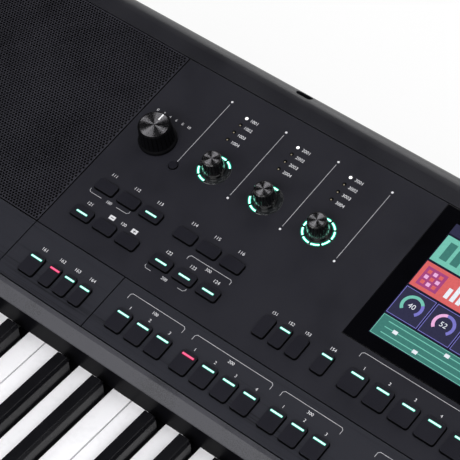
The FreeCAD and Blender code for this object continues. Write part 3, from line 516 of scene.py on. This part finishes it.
# Control panel: a flat charcoal plate, moulded and sprayed with a soft-touch coat, with screen-printed
# rules, dots and plain numbers.
panel_coat = moulded("panel_coat", (0.0124, 0.0124, 0.0166), rough=0.45, spread=0.1, grain=3600,
                     grain_depth=0.00002, edge=0.0003, edge_wear_and_highlight=1.0, specular=0.14)
dress(panel_coat, "control_panel")
line_ink = ink("line_ink", (0.35, 0.35, 0.37))
panel_dark_ink = ink("panel_dark_ink", (0.02, 0.02, 0.022))
print_lift = 0.03
label_height = 3.3
small_height = 3.0
rule_width = 0.36
corner_cut = 1.2
line_mark = 1
dark_mark = 2


def from_edge(u, side=-1):
    """X at a distance from the panel's left edge, or from its right edge where the side is 1."""
    return side * (panel_half - u)


def write(shape, text, x, v, height=label_height, from_start=False, lift=print_lift, mark=0):
    points, faces = numeral(text)
    if from_start:
        x -= min(p.x for p in points) * height
    shape.put([on_panel(x + p.x * height, v + p.y * height, lift) for p in points], faces, mark)


def write_row(shape, first, us, v, side=-1, height=label_height):
    """Numbers that count up from left to right, at distances from one edge of the panel."""
    for i, u in enumerate(us[::-side]):
        write(shape, str(first + i), from_edge(u, side), v, height)


def dot(shape, x, v, radius, lift=print_lift, mark=0, count=16):
    ring = [on_panel(x + p.x, v + p.y, lift) for p in circle(radius, 0, count)]
    shape.put(ring, [tuple(range(count))], mark)


def rule(shape, path):
    """A printed line along a path of X, v points, with mitred corners."""
    sides = []
    for i, point in enumerate(path):
        here = Vector(point)
        before = Vector(path[max(i - 1, 0)])
        after = Vector(path[min(i + 1, len(path) - 1)])
        ways = [w.normalized() for w in (here - before, after - here) if w.length > 0]
        normal = sum((Vector((-w.y, w.x)) for w in ways), Vector((0, 0))).normalized()
        reach = rule_width / 2 / max(normal.dot(Vector((-ways[0].y, ways[0].x))), 0.3)
        sides.append((here + normal * reach, here - normal * reach))
    points = [on_panel(p.x, p.y, print_lift) for pair in sides for p in pair]
    faces = [(2 * i + 1, 2 * i + 3, 2 * i + 2, 2 * i) for i in range(len(path) - 1)]
    shape.put(points, faces, line_mark)


def bracket(shape, path, side=-1):
    """A printed line through points from one edge of the panel, with its corners cut off at 45 degrees."""
    places = [Vector((from_edge(u, side), v)) for u, v in path]
    cut_path = places[:1]
    for before, here, after in zip(places, places[1:], places[2:]):
        cut_path.append(here + (before - here).normalized() * corner_cut)
        cut_path.append(here + (after - here).normalized() * corner_cut)
    rule(shape, cut_path + places[-1:])


def plate(shape, x, v, width, depth, lift=print_lift, mark=0):
    corners = [on_panel(x + a * width / 2, v + b * depth / 2, lift) for a, b in square]
    shape.put(corners, [(0, 1, 2, 3)], mark)


panel_print = Shape()
dot_radius = 0.8
dot_gap = 2.4
low_dot_v = 81.1
high_dot_v = 141.5
short_rule_v = 84.9
for i, u in enumerate((45.77, 89.95, 131.4, 172.9)):
    rule_x = from_edge(u)
    rule(panel_print, [(rule_x, low_dot_v + dot_gap if i else short_rule_v), (rule_x, high_dot_v - dot_gap)])
    for dot_v in (low_dot_v, high_dot_v) if i else (high_dot_v,):
        dot(panel_print, rule_x, dot_v, dot_radius)

# Places of the encoders and of the four lamps in a column above each
encoder_xs = [sum((p.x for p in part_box(f"encoder_knob_{i + 1}")), 0.0) / 2 / MM for i in range(3)]
encoder_v = 93.1
lamp_first_v = 136.27
lamp_pitch = 6.735
lamp_vs = [lamp_first_v - lamp_pitch * j for j in range(4)]
lamp_side = -7.4
lamp_label_gap = 3.6
for i, x in enumerate(encoder_xs):
    for j, v in enumerate(lamp_vs):
        write(panel_print, str(1000 * i + 1001 + j), x + lamp_side + lamp_label_gap, v, from_start=True)

# Each side of the panel has two rows of numbers, a minus, a plus and brackets that join some of the caps
upper_row_v = 54.0
lower_row_v = 28.8
sign_v = 28.6
sign_lift = 0.05
sign_stroke = 0.55
minus_length = 2.2
plus_height = 2.0
side_brackets = ([(12.8, 38.6), (12.8, 36.0), (23.4, 36.0)], [(35.7, 36.0), (45.3, 36.0), (45.3, 38.6)],
                 [(97.0, 31.6), (97.0, 35.0), (130.4, 35.0), (130.4, 31.6)],
                 [(78.6, 14.6), (78.6, 12.2), (84.0, 12.2)], [(105.4, 12.2), (110.7, 12.2), (110.7, 14.6)])
bracket_labels = (("100", 29.6, 36.0), ("200", 94.7, 12.3), ("300", 113.6, 32.4), ("120", 48.0, 28.8))
for side in (-1, 1):
    hundred = 100 * (side > 0)
    write_row(panel_print, 111 + hundred, (19.4, 38.4, 57.2, 85.3, 103.5, 122.5), upper_row_v, side)
    write_row(panel_print, 121 + hundred, (20.2, 85.3, 104.4, 122.8), lower_row_v, side)
    for i, u in enumerate((38.8, 57.2)):
        sign_x = from_edge(u, side)
        plate(panel_print, sign_x, sign_v, width=4.4, depth=3.0)
        plate(panel_print, sign_x, sign_v, minus_length, sign_stroke, sign_lift, dark_mark)
        if i:
            plate(panel_print, sign_x, sign_v, sign_stroke, plus_height, sign_lift, dark_mark)
    for path in side_brackets:
        bracket(panel_print, path, side)
    for text, u, v in bracket_labels:
        write(panel_print, text, from_edge(u, side), v, small_height)

# A scale beside the volume knob, and the row of memories under the screen
scale_from = 9.0
scale_pitch = 5.2
scale_v = 109.8
scale_height = 2.9
for i in range(6):
    write(panel_print, str(2 * i), from_edge(scale_from + scale_pitch * i), scale_v, scale_height)
write_row(panel_print, 151, (165.8, 178.2, 190.5, 209.2), 31.6, height=small_height)
number_pitch = 18.1
number_us = [panel_half + (i - 3.5) * number_pitch for i in range(8)]
write_row(panel_print, 1, number_us, 31.8, height=small_height)
memory_from = 224.3
memory_to = 2 * panel_half - memory_from
bracket(panel_print, [(memory_from, 36.6), (memory_from, 40.4), (memory_to, 40.4), (memory_to, 36.6)])
piece("panel_prints", panel_print, [label_ink, line_ink, panel_dark_ink], "body")


# Indicator lamps: small holes in the panel with a light-emitting diode behind each. The top one of
# each column is on; each of the others is a flat dark disc of painted shade for its hole, with an amber chip
# that glows faintly as a painted glint.
def glow(name, colour, strength, rough=0.25):
    """A clear lens with an even light behind it and a faint cloud in it."""
    finish, tree, shader = start_finish(name)
    cloud = noise(tree, on_piece(tree), scale=700.0, detail=2.0)
    feed(tree, shader, {"Emission Color": tinted(tree, cloud, shade(colour, 0.88), shade(colour, 1.0)),
                        "Emission Strength": strength, "Base Color": shade(colour, 0.1), "Roughness": rough})
    return finish


lamp_white = glow("lamp_white", (1.0, 1.0, 1.0), 1.6)
# Painted shade: a near-black disc laid on the panel where the hole is.
lamp_hole_shade = moulded("lamp_hole_shade", (0.0012, 0.0012, 0.0012), rough=0.7, specular=0.03)
# Painted glint: the chip of a lamp that is off still glows.
amber_chip_glint = glow("amber_chip_glint", (0.34, 0.30, 0.225), 1.0)
lens_rings = ((1.1, 0.0), (1.0, 0.12), (0.65, 0.24))
hole_radius = 1.35
hole_x, hole_v = -0.1, 0.45
chip_radius = 0.5
chip_x, chip_v = -0.15, 0.05
chip_lift = 0.05
lamps = Shape()
for x in encoder_xs:
    for j, v in enumerate(lamp_vs):
        lamp_x = x + lamp_side
        if j == 0:
            dome = [[on_panel(lamp_x + p.x, v + p.y, p.z) for p in circle(r, h, 16)] for r, h in lens_rings]
            rings_to_shape(lamps, dome)
        else:
            dot(lamps, lamp_x + hole_x, v + hole_v, hole_radius, mark=1)
            dot(lamps, lamp_x + chip_x, v + chip_v, chip_radius, chip_lift, mark=2, count=8)
piece("indicator_lamps", lamps, [lamp_white, lamp_hole_shade, amber_chip_glint], "body")

# Strip inlays: five flat plates between the fold and the lip, moulded with fine lines along them, as if
# brushed, with printed brackets and numbers above the caps.
strip_lines = moulded("strip_lines", (0.0104, 0.0107, 0.0143), rough=0.44, spread=0.5, grain=1300,
                      grain_depth=0.00006, edge=0.0003, edge_wear_and_highlight=1.3, stretch=(0.012, 1, 1), specular=0.2)
dress(strip_lines, "strip_inlays")
strip_print = Shape()
strip_pitch = 15.5
strip_reach = 6.2
plain_row_v = -13.4
cap_row_v = -15.2
title_v = -9.8
beam_v = -6.5
arm_v = -10.8


def over_caps(start, end, side=-1):
    """A bracket that is open towards the caps."""
    bracket(strip_print, [(start, arm_v), (start, beam_v), (end, beam_v), (end, arm_v)], side)


for side in (-1, 1):
    write_row(strip_print, 161 + 100 * (side > 0), (19.1, 33.9, 46.4, 58.6), plain_row_v, side)
    over_caps(84.6, 127.6, side)
    write(strip_print, str(100 + 400 * (side > 0)), from_edge(106.1, side), title_v, small_height)
    write_row(strip_print, 1, (90.9, 106.4, 121.9), cap_row_v, side, small_height)
for bank, (first_u, count) in enumerate(((141.7, 4), (208.0, 3), (276.0, 4))):
    cap_us = [first_u + strip_pitch * i for i in range(count)]
    over_caps(first_u - strip_reach, cap_us[-1] + strip_reach)
    write(strip_print, str(200 + 100 * bank), from_edge((first_u + cap_us[-1]) / 2), title_v, small_height)
    write_row(strip_print, 1, cap_us, cap_row_v, height=small_height)
piece("strip_prints", strip_print, [label_ink, line_ink], "body")

# Button caps: dark moulded caps with a grained top and flanks darkened with painted shade, that slide in the
# panel's windows, with a slim light guide let into the lit ones. Mint shows a function that is ready, pink
# the one that is chosen.
cap_plastic = moulded("cap_plastic", (0.0077, 0.0076, 0.0112), rough=0.42, spread=0.12, grain=3200,
                      grain_depth=0.00002, edge=0.00035, edge_wear_and_highlight=1.25, specular=0.14)
# The flanks of the caps are darkened with painted shade.
paint_shade_on_flanks(cap_plastic)
mint_core = glow("mint_core", (0.55, 1.0, 0.88), 1.5)
mint_edge = glow("mint_edge", (0.06, 0.62, 0.44), 0.9)
pink_core = glow("pink_core", (1.0, 0.14, 0.30), 1.1)
pink_edge = glow("pink_edge", (0.75, 0.02, 0.10), 0.9)
cap_rise = 1.8
bar_depth = 1.5
bar_corner = 0.4
bar_sunk = 0.05
bar_shoulder = 0.06
bar_top = 0.16
top_inset = 0.5
top_corner = 0.25
bar_from_rear = 2.5
narrow_cap = 10
short_bar = 7.5
long_bar = 8.8


def off_panel(point):
    """X, the way up the slope and the height above it in millimetres, from a point in metres."""
    y = point.y / MM - fold_y
    z = point.z / MM - fold_z
    return point.x / MM, y * slope_run + z * slope_rise, z * slope_run - y * slope_rise


def caps_of(name):
    """X, rear edge, front edge and width of each cap in a group, from left to right, rear row first."""
    shape = bmesh.new()
    shape.from_mesh(nodes[name].data)
    bmesh.ops.remove_doubles(shape, verts=shape.verts, dist=1e-6)
    waiting = set(shape.verts)
    found = []
    while waiting:
        queue = [waiting.pop()]
        places = []
        while queue:
            vert = queue.pop()
            places.append(off_panel(vert.co))
            for edge in vert.link_edges:
                other = edge.other_vert(vert)
                if other in waiting:
                    waiting.remove(other)
                    queue.append(other)
        xs = [p[0] for p in places]
        vs = [p[1] for p in places]
        found.append(((min(xs) + max(xs)) / 2, max(vs), min(vs), max(xs) - min(xs)))
    shape.free()
    return sorted(found, key=lambda cap: (-round(cap[1]), cap[0]))


def bar_ring(x, v, width, depth, h, radius=bar_corner):
    """A rectangle with rounded corners, from four quarter circles."""
    count = 4
    ring = []
    for quarter, (a, b) in enumerate(((1, 1), (-1, 1), (-1, -1), (1, -1))):
        for i in range(count):
            turn = math.pi / 2 * (quarter + i / (count - 1))
            ring.append(on_panel(x + a * (width / 2 - radius) + radius * math.cos(turn),
                                 v + b * (depth / 2 - radius) + radius * math.sin(turn), h))
    return ring


def light_bar(shape, x, v, width, pink):
    core = 2 if pink else 0
    rings = [bar_ring(x, v, width, bar_depth, cap_rise - bar_sunk),
             bar_ring(x, v, width, bar_depth, cap_rise + bar_shoulder),
             bar_ring(x, v, width - top_inset, bar_depth - top_inset, cap_rise + bar_top, top_corner)]
    rings_to_shape(shape, rings, core + 1, top_mark=core)


def light_caps(name, lit, pink=(), middle=False):
    dress(cap_plastic, name)
    bars = Shape()
    for i, (x, rear, front, width) in enumerate(caps_of(name)):
        if i in lit:
            bar_v = (rear + front) / 2 if middle else rear - bar_from_rear
            light_bar(bars, x, bar_v, short_bar if width < narrow_cap else long_bar, i in pink)
    bar_finishes = [mint_core, mint_edge, pink_core, pink_edge]
    piece(name.replace("buttons", "lights"), bars, bar_finishes, name)


light_caps("setup_buttons", [3], middle=True)
light_caps("tempo_buttons", [0], middle=True)
light_caps("record_buttons", [0, 1, 2], middle=True)
light_caps("voice_buttons", [0, 1, 2, 5, 8, 9], middle=True)
light_caps("chord_buttons", range(4), pink=[1])
light_caps("intro_ending_buttons", range(6))
light_caps("main_buttons", range(4), pink=[0])
light_caps("transport_buttons", range(4), pink=[3])
light_caps("memory_buttons", [1, 3, 4, 5, 6, 7, 8, 9, 10, 11])
light_caps("pad_buttons", range(7))

# Knobs: notched grips, the large ones with a rubber skin and the encoders in black acetal. All but the
# data dial have a disc of spun aluminium let into the top. The volume knob has a white pointer.
spun_knobs = ("volume_knob", "encoder_knob_1", "encoder_knob_2", "encoder_knob_3")
knob_black = (0.0018, 0.0018, 0.0022)
dress(moulded("knob_acetal", knob_black, rough=0.15, spread=0.2, edge=0.0003, edge_wear_and_highlight=1.2, specular=0.45),
      *spun_knobs[1:])
dress(moulded("knob_rubber", knob_black, rough=0.45, spread=0.2, edge=0.0003, edge_wear_and_highlight=1.1, specular=0.015),
      "volume_knob", "data_dial")
groove_map = "across_the_grooves"
groove_pitch = 0.24
groove_slope = 0.25


def spun_metal(name, colour):
    """Aluminium turned on a lathe: fine V-grooves round the middle, whose flanks give four rays of light."""
    finish, tree, shader = start_finish(name)
    cloud = noise(tree, on_piece(tree), scale=900.0, detail=2.0)
    out = add(tree, "UVMap", uv_map=groove_map).outputs["UV"]
    out = add(tree, "SeparateXYZ", {"Vector": out}).outputs["X"]
    groove = reckon(tree, "FRACT", reckon(tree, "MULTIPLY", out, 1 / groove_pitch))
    flank = ranged(tree, reckon(tree, "GREATER_THAN", groove, 0.5), 0.0, 1.0, -groove_slope, groove_slope)
    outward = add(tree, "Tangent", direction_type="UV_MAP", uv_map=groove_map).outputs["Tangent"]
    lean = add(tree, "VectorMath", {0: outward, "Scale": flank}, operation="SCALE").outputs[0]
    level = add(tree, "NewGeometry").outputs["Normal"]
    normal = add(tree, "VectorMath", {0: level, 1: lean}, operation="ADD").outputs[0]
    normal = add(tree, "VectorMath", {0: normal}, operation="NORMALIZE").outputs[0]
    feed(tree, shader, {"Base Color": tinted(tree, cloud, shade(colour, 0.92), shade(colour, 1.08)),
                        "Normal": normal, "Metallic": 1.0, "Roughness": 0.16})
    return finish


knob_metal = spun_metal("knob_metal", (0.19, 0.186, 0.198))
disc_sides = 48
disc_rings = 6
disc_sunk = 0.04
disc_hub = 0.02
inlay_rim = 0.42
inlay_depth = 0.3
pointer_ink = ink("pointer_ink", (0.85, 0.85, 0.86))
pointer_outline = ((-0.45, 0.45), (0.45, 0.45), (0.45, 0.93), (-0.45, 0.93))
pointer_sunk = 0.01


def knob_disc(knob, x, v, radius, height):
    """A thin disc in rings, whose map runs out from the middle, across the grooves."""
    points = []
    for ring in range(disc_rings + 1):
        r = radius * max(ring / disc_rings, disc_hub)
        points += [on_panel(x + p.x, v + p.y, height - disc_sunk) for p in circle(r, 0, disc_sides)]
    points += [on_panel(x + p.x, v + p.y, height - inlay_depth) for p in circle(radius, 0, disc_sides)]
    faces = []
    for ring in range(disc_rings + 1):
        inner, outer = ring * disc_sides, (ring + 1) * disc_sides
        for i in range(disc_sides):
            j = (i + 1) % disc_sides
            faces.append((inner + i, outer + i, outer + j, inner + j))
    faces.append(tuple(range(disc_sides)))
    skin = Shape()
    skin.put(points, faces)
    disc = piece(knob + "_top", skin, [knob_metal], knob)
    layer = disc.data.uv_layers.new(name=groove_map)
    for polygon in disc.data.polygons:
        turns = []
        for loop in polygon.loop_indices:
            ring, side = divmod(disc.data.loops[loop].vertex_index, disc_sides)
            turns.append((loop, side / disc_sides, radius * ring / disc_rings))
        wraps = max(t[1] for t in turns) - min(t[1] for t in turns) > 0.5
        for loop, turn, out in turns:
            layer.data[loop].uv = (out, turn + 1 if wraps and turn < 0.5 else turn)


def top_of(knob):
    """Middle, height and radius of a knob's flat top."""
    places = [off_panel(v.co) for v in nodes[knob].data.vertices]
    height = max(p[2] for p in places)
    flat = [p for p in places if p[2] > height - 0.01]
    xs = [p[0] for p in flat]
    vs = [p[1] for p in flat]
    return (min(xs) + max(xs)) / 2, (min(vs) + max(vs)) / 2, height, (max(xs) - min(xs)) / 2


for knob in spun_knobs:
    knob_x, knob_v, knob_height, knob_radius = top_of(knob)
    knob_disc(knob, knob_x, knob_v, knob_radius - inlay_rim, knob_height)
    if knob == "volume_knob":
        pointer = Shape()
        pointer.put([on_panel(knob_x + a, knob_v + b * knob_radius, knob_height - pointer_sunk)
                     for a, b in pointer_outline], [(0, 1, 2, 3)])
        piece("volume_pointer", pointer, [pointer_ink], knob)

# Light rings: smoked clear discs let into the panel round the encoders, each with nine curved light
# guides. A lit guide has a bright core, green edges and a faint haze on both sides.
dress(moulded("ring_smoke", (0.010, 0.011, 0.012), rough=0.2, spread=0.1, grain=400, grain_depth=0.00001,
              coat=0.4), "encoder_light_rings")
ring_dark = moulded("ring_dark", (0.020, 0.021, 0.023), rough=0.35)
ring_core = glow("ring_core", (0.36, 1.0, 0.76), 4.0)
ring_edge = glow("ring_edge", (0.05, 0.72, 0.47), 1.0)
ring_haze = glow("ring_haze", (0.006, 0.11, 0.07), 1.0)
ring_middle = 10.1
ring_lift = 0.24
ring_parts = 9
ring_first = -6.0
part_turn = 360 / ring_parts
lit_parts = ((1, 2, 5, 6), (2, 5, 6), tuple(range(ring_parts)))
lit_gap = 4.0
dark_gap = 10.0

# Offset from the middle of the ring, width and finish of each band of a guide
lit_bands = ((-1.1, 0.5, 3), (-0.64, 0.42, 2), (0.0, 0.86, 1), (0.64, 0.42, 2), (1.1, 0.5, 3))
dark_bands = ((0.0, 0.8, 0),)


def arc(shape, x, v, radii, start, end, lift, mark, steps=8):
    """A flat band between two radii, from one angle to another."""
    points = []
    for i in range(steps + 1):
        turn = math.radians(start + (end - start) * i / steps)
        points += [on_panel(x + r * math.cos(turn), v + r * math.sin(turn), lift) for r in radii]
    shape.put(points, [(2 * i, 2 * i + 1, 2 * i + 3, 2 * i + 2) for i in range(steps)], mark)


rings = Shape()
for x, lit in zip(encoder_xs, lit_parts):
    for part in range(ring_parts):
        bands, gap = (lit_bands, lit_gap) if part in lit else (dark_bands, dark_gap)
        start = ring_first + part * part_turn + gap
        end = ring_first + (part + 1) * part_turn - gap
        for offset, width, mark in bands:
            radii = (ring_middle + offset - width / 2, ring_middle + offset + width / 2)
            arc(rings, x, encoder_v, radii, start, end, ring_lift, mark)
piece("ring_lights", rings, [ring_dark, ring_core, ring_edge, ring_haze], "body")

# Screen: a black cover glass bonded over a colour display. The display shows a plain page of sliders,
# dials, level bars and numbers.
glass_black = moulded("glass_black", (0.0012, 0.0012, 0.0018), rough=0.08, spread=0.1, grain=50,
                      grain_depth=0.000001, edge=0.0003, specular=0.25)
dress(glass_black, "screen_glass")
display_side = 12.1
display_foot = 9.2
display_left = glass_low.x / MM + display_side
display_low = glass_from + display_foot
display_width = 152.4
display_depth = 91.4
layer_lift = 0.02
layer_step = 0.006
dial_lift = 0.06
dial_start = 225
dial_sweep = 270
dial_bore = 0.72
dial_steps = 24
figure_lift = 0.07
border_width = 0.4
screen_colours = {"night": (0.012, 0.012, 0.028), "indigo": (0.030, 0.030, 0.065),
                  "lilac": (0.19, 0.18, 0.55), "mint": (0.17, 0.52, 0.42), "teal": (0.050, 0.19, 0.165),
                  "salmon": (0.66, 0.125, 0.125), "plum": (0.36, 0.06, 0.20),
                  "paper": (0.78, 0.82, 0.88), "pink": (0.80, 0.42, 0.70)}
screen_marks = {name: i for i, name in enumerate(screen_colours)}
screen_finishes = [glow("display_" + name, colour, 1.0, 0.12) for name, colour in screen_colours.items()]
page = Shape()


def tile(x, v, width, depth, colour, layer=1):
    plate(page, display_left + x + width / 2, display_low + v + depth / 2, width, depth,
          layer_lift + layer_step * layer, screen_marks[colour])


def framed(x, v, width, depth, border, fill):
    tile(x, v, width, depth, border, 2)
    tile(x + border_width, v + border_width, width - 2 * border_width, depth - 2 * border_width, fill, 3)


def figure(text, x, v, height, colour):
    write(page, text, display_left + x, display_low + v, height, lift=figure_lift, mark=screen_marks[colour])


def dial(x, v, radius, share, colour):
    """A thick arc round a point, open below, filled up to a share of its length."""
    filled = round(dial_steps * share)
    for first, last, tint in ((0, filled, colour), (filled, dial_steps, "lilac")):
        start, end = (dial_start - dial_sweep * step / dial_steps for step in (first, last))
        arc(page, display_left + x, display_low + v, (radius, dial_bore * radius), start, end, dial_lift,
            screen_marks[tint], last - first)


# A title bar, and along the bottom a field with three sliders and level bars
title_depth = 8
tile(0, 0, display_width, display_depth, "night", 0)
tile(0, display_depth - title_depth, display_width, title_depth, "indigo")
for i in range(5):
    tile(6 + 30 * i, display_depth - 5.2, 14 - 2 * i, 2.2, "lilac", 2)
framed(0.6, 0.6, 151.2, 15.0, "mint", "teal")
slider_pitch = 4.2
for j in range(3):
    tile(6, 3.8 + slider_pitch * j, 62, 0.6, "mint", 4)
    tile(12 + 17 * ((2 * j + 1) % 3), 2.9 + slider_pitch * j, 3.2, 2.4, "paper", 5)
for j in range(22):
    tile(76 + 3.4 * j, 3.0, 2.0, 2.5 + 8 * abs(math.sin(0.55 * j + 0.4)), "mint", 4)

# On the left three dials, and above them a field with a chequered square and one with bars alone
dial_pitch = 22.6
for i, (share, tint) in enumerate(((0.7, "mint"), (0.45, "pink"), (0.85, "paper"))):
    framed(0.6 + dial_pitch * i, 17.2, 21.6, 21.6, "lilac", "indigo")
    dial(11.4 + dial_pitch * i, 28.6, 7.4, share, tint)
    figure(str(12 * i + 40), 11.4 + dial_pitch * i, 28.2, 5.0, "paper")
framed(0.6, 40.4, 66.8, 19.6, "salmon", "salmon")
tile(3.4, 43.0, 14.4, 14.4, "plum", 4)
for i in range(3):
    for j in range(3):
        tile(5.2 + 4.0 * i, 44.8 + 4.0 * j, 2.6, 2.6, "pink" if (i + j) % 2 else "salmon", 5)
for j in range(10):
    tile(22.5 + 4.3 * j, 44.0, 2.8, 3.4 + 8.6 * abs(math.sin(0.9 * j + 0.5)), "paper", 4)
framed(0.6, 61.6, 66.8, 20.4, "mint", "mint")
for j in range(8):
    tile(5 + 7.6 * j, 65, 5.2, 3.5 + 10 * abs(math.cos(0.7 * j)), "teal", 4)

# On the right six numbered fields
field_pitch = 27.7
field_rise = 32.6
for i in range(3):
    for j in range(2):
        field_x, field_v = 69.0 + field_pitch * i, 17.2 + field_rise * j
        framed(field_x, field_v, 26.9, 31.8, "lilac", "indigo")
        tile(field_x + 2.2, field_v + 2.8, 22.4, 3.0, ("teal", "plum", "salmon")[(i + j) % 3], 4)
        figure(str(i + 3 * (1 - j) + 1), field_x + 13.4, field_v + 18.3, 12, "paper")
piece("display_page", page, screen_finishes, "body")

# Studio: a pale floor, softboxes round the object and a white room that is dark above, with two small
# lamps overhead that give the rays on spun metal. The camera is at the photograph's place.
look_at = Vector((-0.18900, 0.07453, 0.11151))
camera_turn = 0.68398
camera_height = 0.84644
camera_roll = -0.0054
camera_distance = 1.12706
toward = Vector((math.sin(camera_turn) * math.cos(camera_height),
                 -math.cos(camera_turn) * math.cos(camera_height), math.sin(camera_height)))
floor_size = 6.0
floor_mesh = bpy.data.meshes.new("floor")
floor_mesh.from_pydata([(a * floor_size, b * floor_size, 0) for a, b in square], [], [(0, 1, 2, 3)])
floor = bpy.data.objects.new("floor", floor_mesh)
bpy.context.scene.collection.objects.link(floor)


def lit_for_eyes(tree, dull, bright, share):
    """Shows the bright shader to the eye, to gloss and through glass, and the dull one to other light."""
    path = add(tree, "LightPath").outputs
    seen = reckon(tree, "MAXIMUM", path["Is Camera Ray"], path["Is Glossy Ray"])
    seen = reckon(tree, "MAXIMUM", seen, path["Is Transmission Ray"])
    seen = reckon(tree, "MULTIPLY", seen, share)
    return add(tree, "MixShader", {0: seen, 1: dull, 2: bright}).outputs[0]


floor_finish = bpy.data.materials.new("pale_floor")
floor_finish.use_nodes = True
floor_tree = floor_finish.node_tree
floor_tree.nodes.clear()
floor_paint = add(floor_tree, "BsdfDiffuse", {"Color": (0.9, 0.9, 0.9, 1)}).outputs[0]
floor_light = add(floor_tree, "Emission", {"Color": (1, 1, 1, 1), "Strength": 1.0}).outputs[0]
add(floor_tree, "OutputMaterial", {"Surface": lit_for_eyes(floor_tree, floor_paint, floor_light, 0.9)})
floor_mesh.materials.append(floor_finish)

# The room is white up to a height that is greater at the rear, except on the far left
world = bpy.data.worlds.new("white_room")
bpy.context.scene.world = world
world.use_nodes = True
room = world.node_tree
room.nodes.clear()
way = add(room, "TexCoord").outputs["Generated"]
parts = add(room, "SeparateXYZ", {"Vector": way}).outputs
rear = ranged(room, parts["Y"], -0.2, 0.45, 0.0, 0.32)
not_left = ranged(room, parts["X"], -0.54, -0.46)
lowered = reckon(room, "SUBTRACT", parts["Z"], reckon(room, "MULTIPLY", rear, not_left))
walls = tinted(room, lowered, (1.0, 1.0, 1.0, 1), (0.015, 0.015, 0.016, 1), 0.30, 0.48)

# Each lamp is a sector round the direction that the panel mirrors to the camera: turn, half angle, light
lamp_sectors = ((272.0, 28.0, 1.4), (-3.0, 14.0, 1.7))
lamp_near = 0.26
lamp_far = 0.62
shift_across = 0.02
shift_up = -0.027
slope = Vector((0, slope_run, slope_rise))
across = reckon(room, "ADD", parts["X"], toward.x + shift_across)
up_slope = reckon(room, "ADD", dot_product(room, way, slope), toward.dot(slope) + shift_up)
beside = add(room, "CombineXYZ", {"X": across, "Y": up_slope}).outputs[0]
reach = add(room, "VectorMath", {0: beside}, operation="LENGTH").outputs["Value"]
within = reckon(room, "COMPARE", reach, (lamp_near + lamp_far) / 2, (lamp_far - lamp_near) / 2)
for turn, half, light in lamp_sectors:
    middle = (math.cos(math.radians(turn)), math.sin(math.radians(turn)), 0)
    facing = reckon(room, "DIVIDE", dot_product(room, beside, middle), reach)
    lamp = reckon(room, "GREATER_THAN", facing, math.cos(math.radians(half)))
    walls = mixed(room, reckon(room, "MULTIPLY", lamp, within), walls, (light, light, light, 1))
room_light = add(room, "Background", {"Color": walls, "Strength": 1.0}).outputs[0]
add(room, "OutputWorld", {"Surface": room_light})


def stand(thing, place, right, upward, back):
    """Puts a lamp or the camera at a place, with its own three directions turned to these."""
    thing.matrix_world = Matrix.Translation(place) @ Matrix((right, upward, back)).transposed().to_4x4()
    bpy.context.scene.collection.objects.link(thing)


def softbox(name, way, distance, along, length, width, power):
    """A flat lamp seen in one direction from the object, whose long side follows a given line."""
    lamp = bpy.data.lights.new(name, "AREA")
    lamp.shape = "RECTANGLE"
    lamp.size = length
    lamp.size_y = width
    lamp.energy = power
    back = Vector(way).normalized()
    side = (Vector(along) - back * back.dot(Vector(along))).normalized()
    stand(bpy.data.objects.new(name, lamp), look_at + back * distance, side, back.cross(side), back)


softbox("key_box", (0.22, -0.72, 0.66), 1.8, (1, 0, 0), 1.1, 0.8, 24.8)
softbox("right_box", (0.60, 0.234, 0.765), 1.9, (0, 1, 0), 0.9, 0.6, 11.5)
softbox("front_box", (-0.26, -0.84, 0.46), 1.7, (1, 0, 0), 1.2, 0.8, 12.0)
softbox("rear_box", (-0.22, 0.897, 0.404), 2.05, (1, 0, 0), 1.3, 1.2, 10.5)

level = Vector((math.cos(camera_turn), math.sin(camera_turn), 0))
right = level * math.cos(camera_roll) + toward.cross(level) * math.sin(camera_roll)
lens = bpy.data.cameras.new("camera")
lens.sensor_fit = "HORIZONTAL"
lens.sensor_width = 36.0
lens.lens = 142.86
camera = bpy.data.objects.new("camera", lens)
stand(camera, look_at + toward * camera_distance, right, toward.cross(right), toward)
bpy.context.scene.camera = camera
bpy.context.scene.view_settings.view_transform = "Standard"
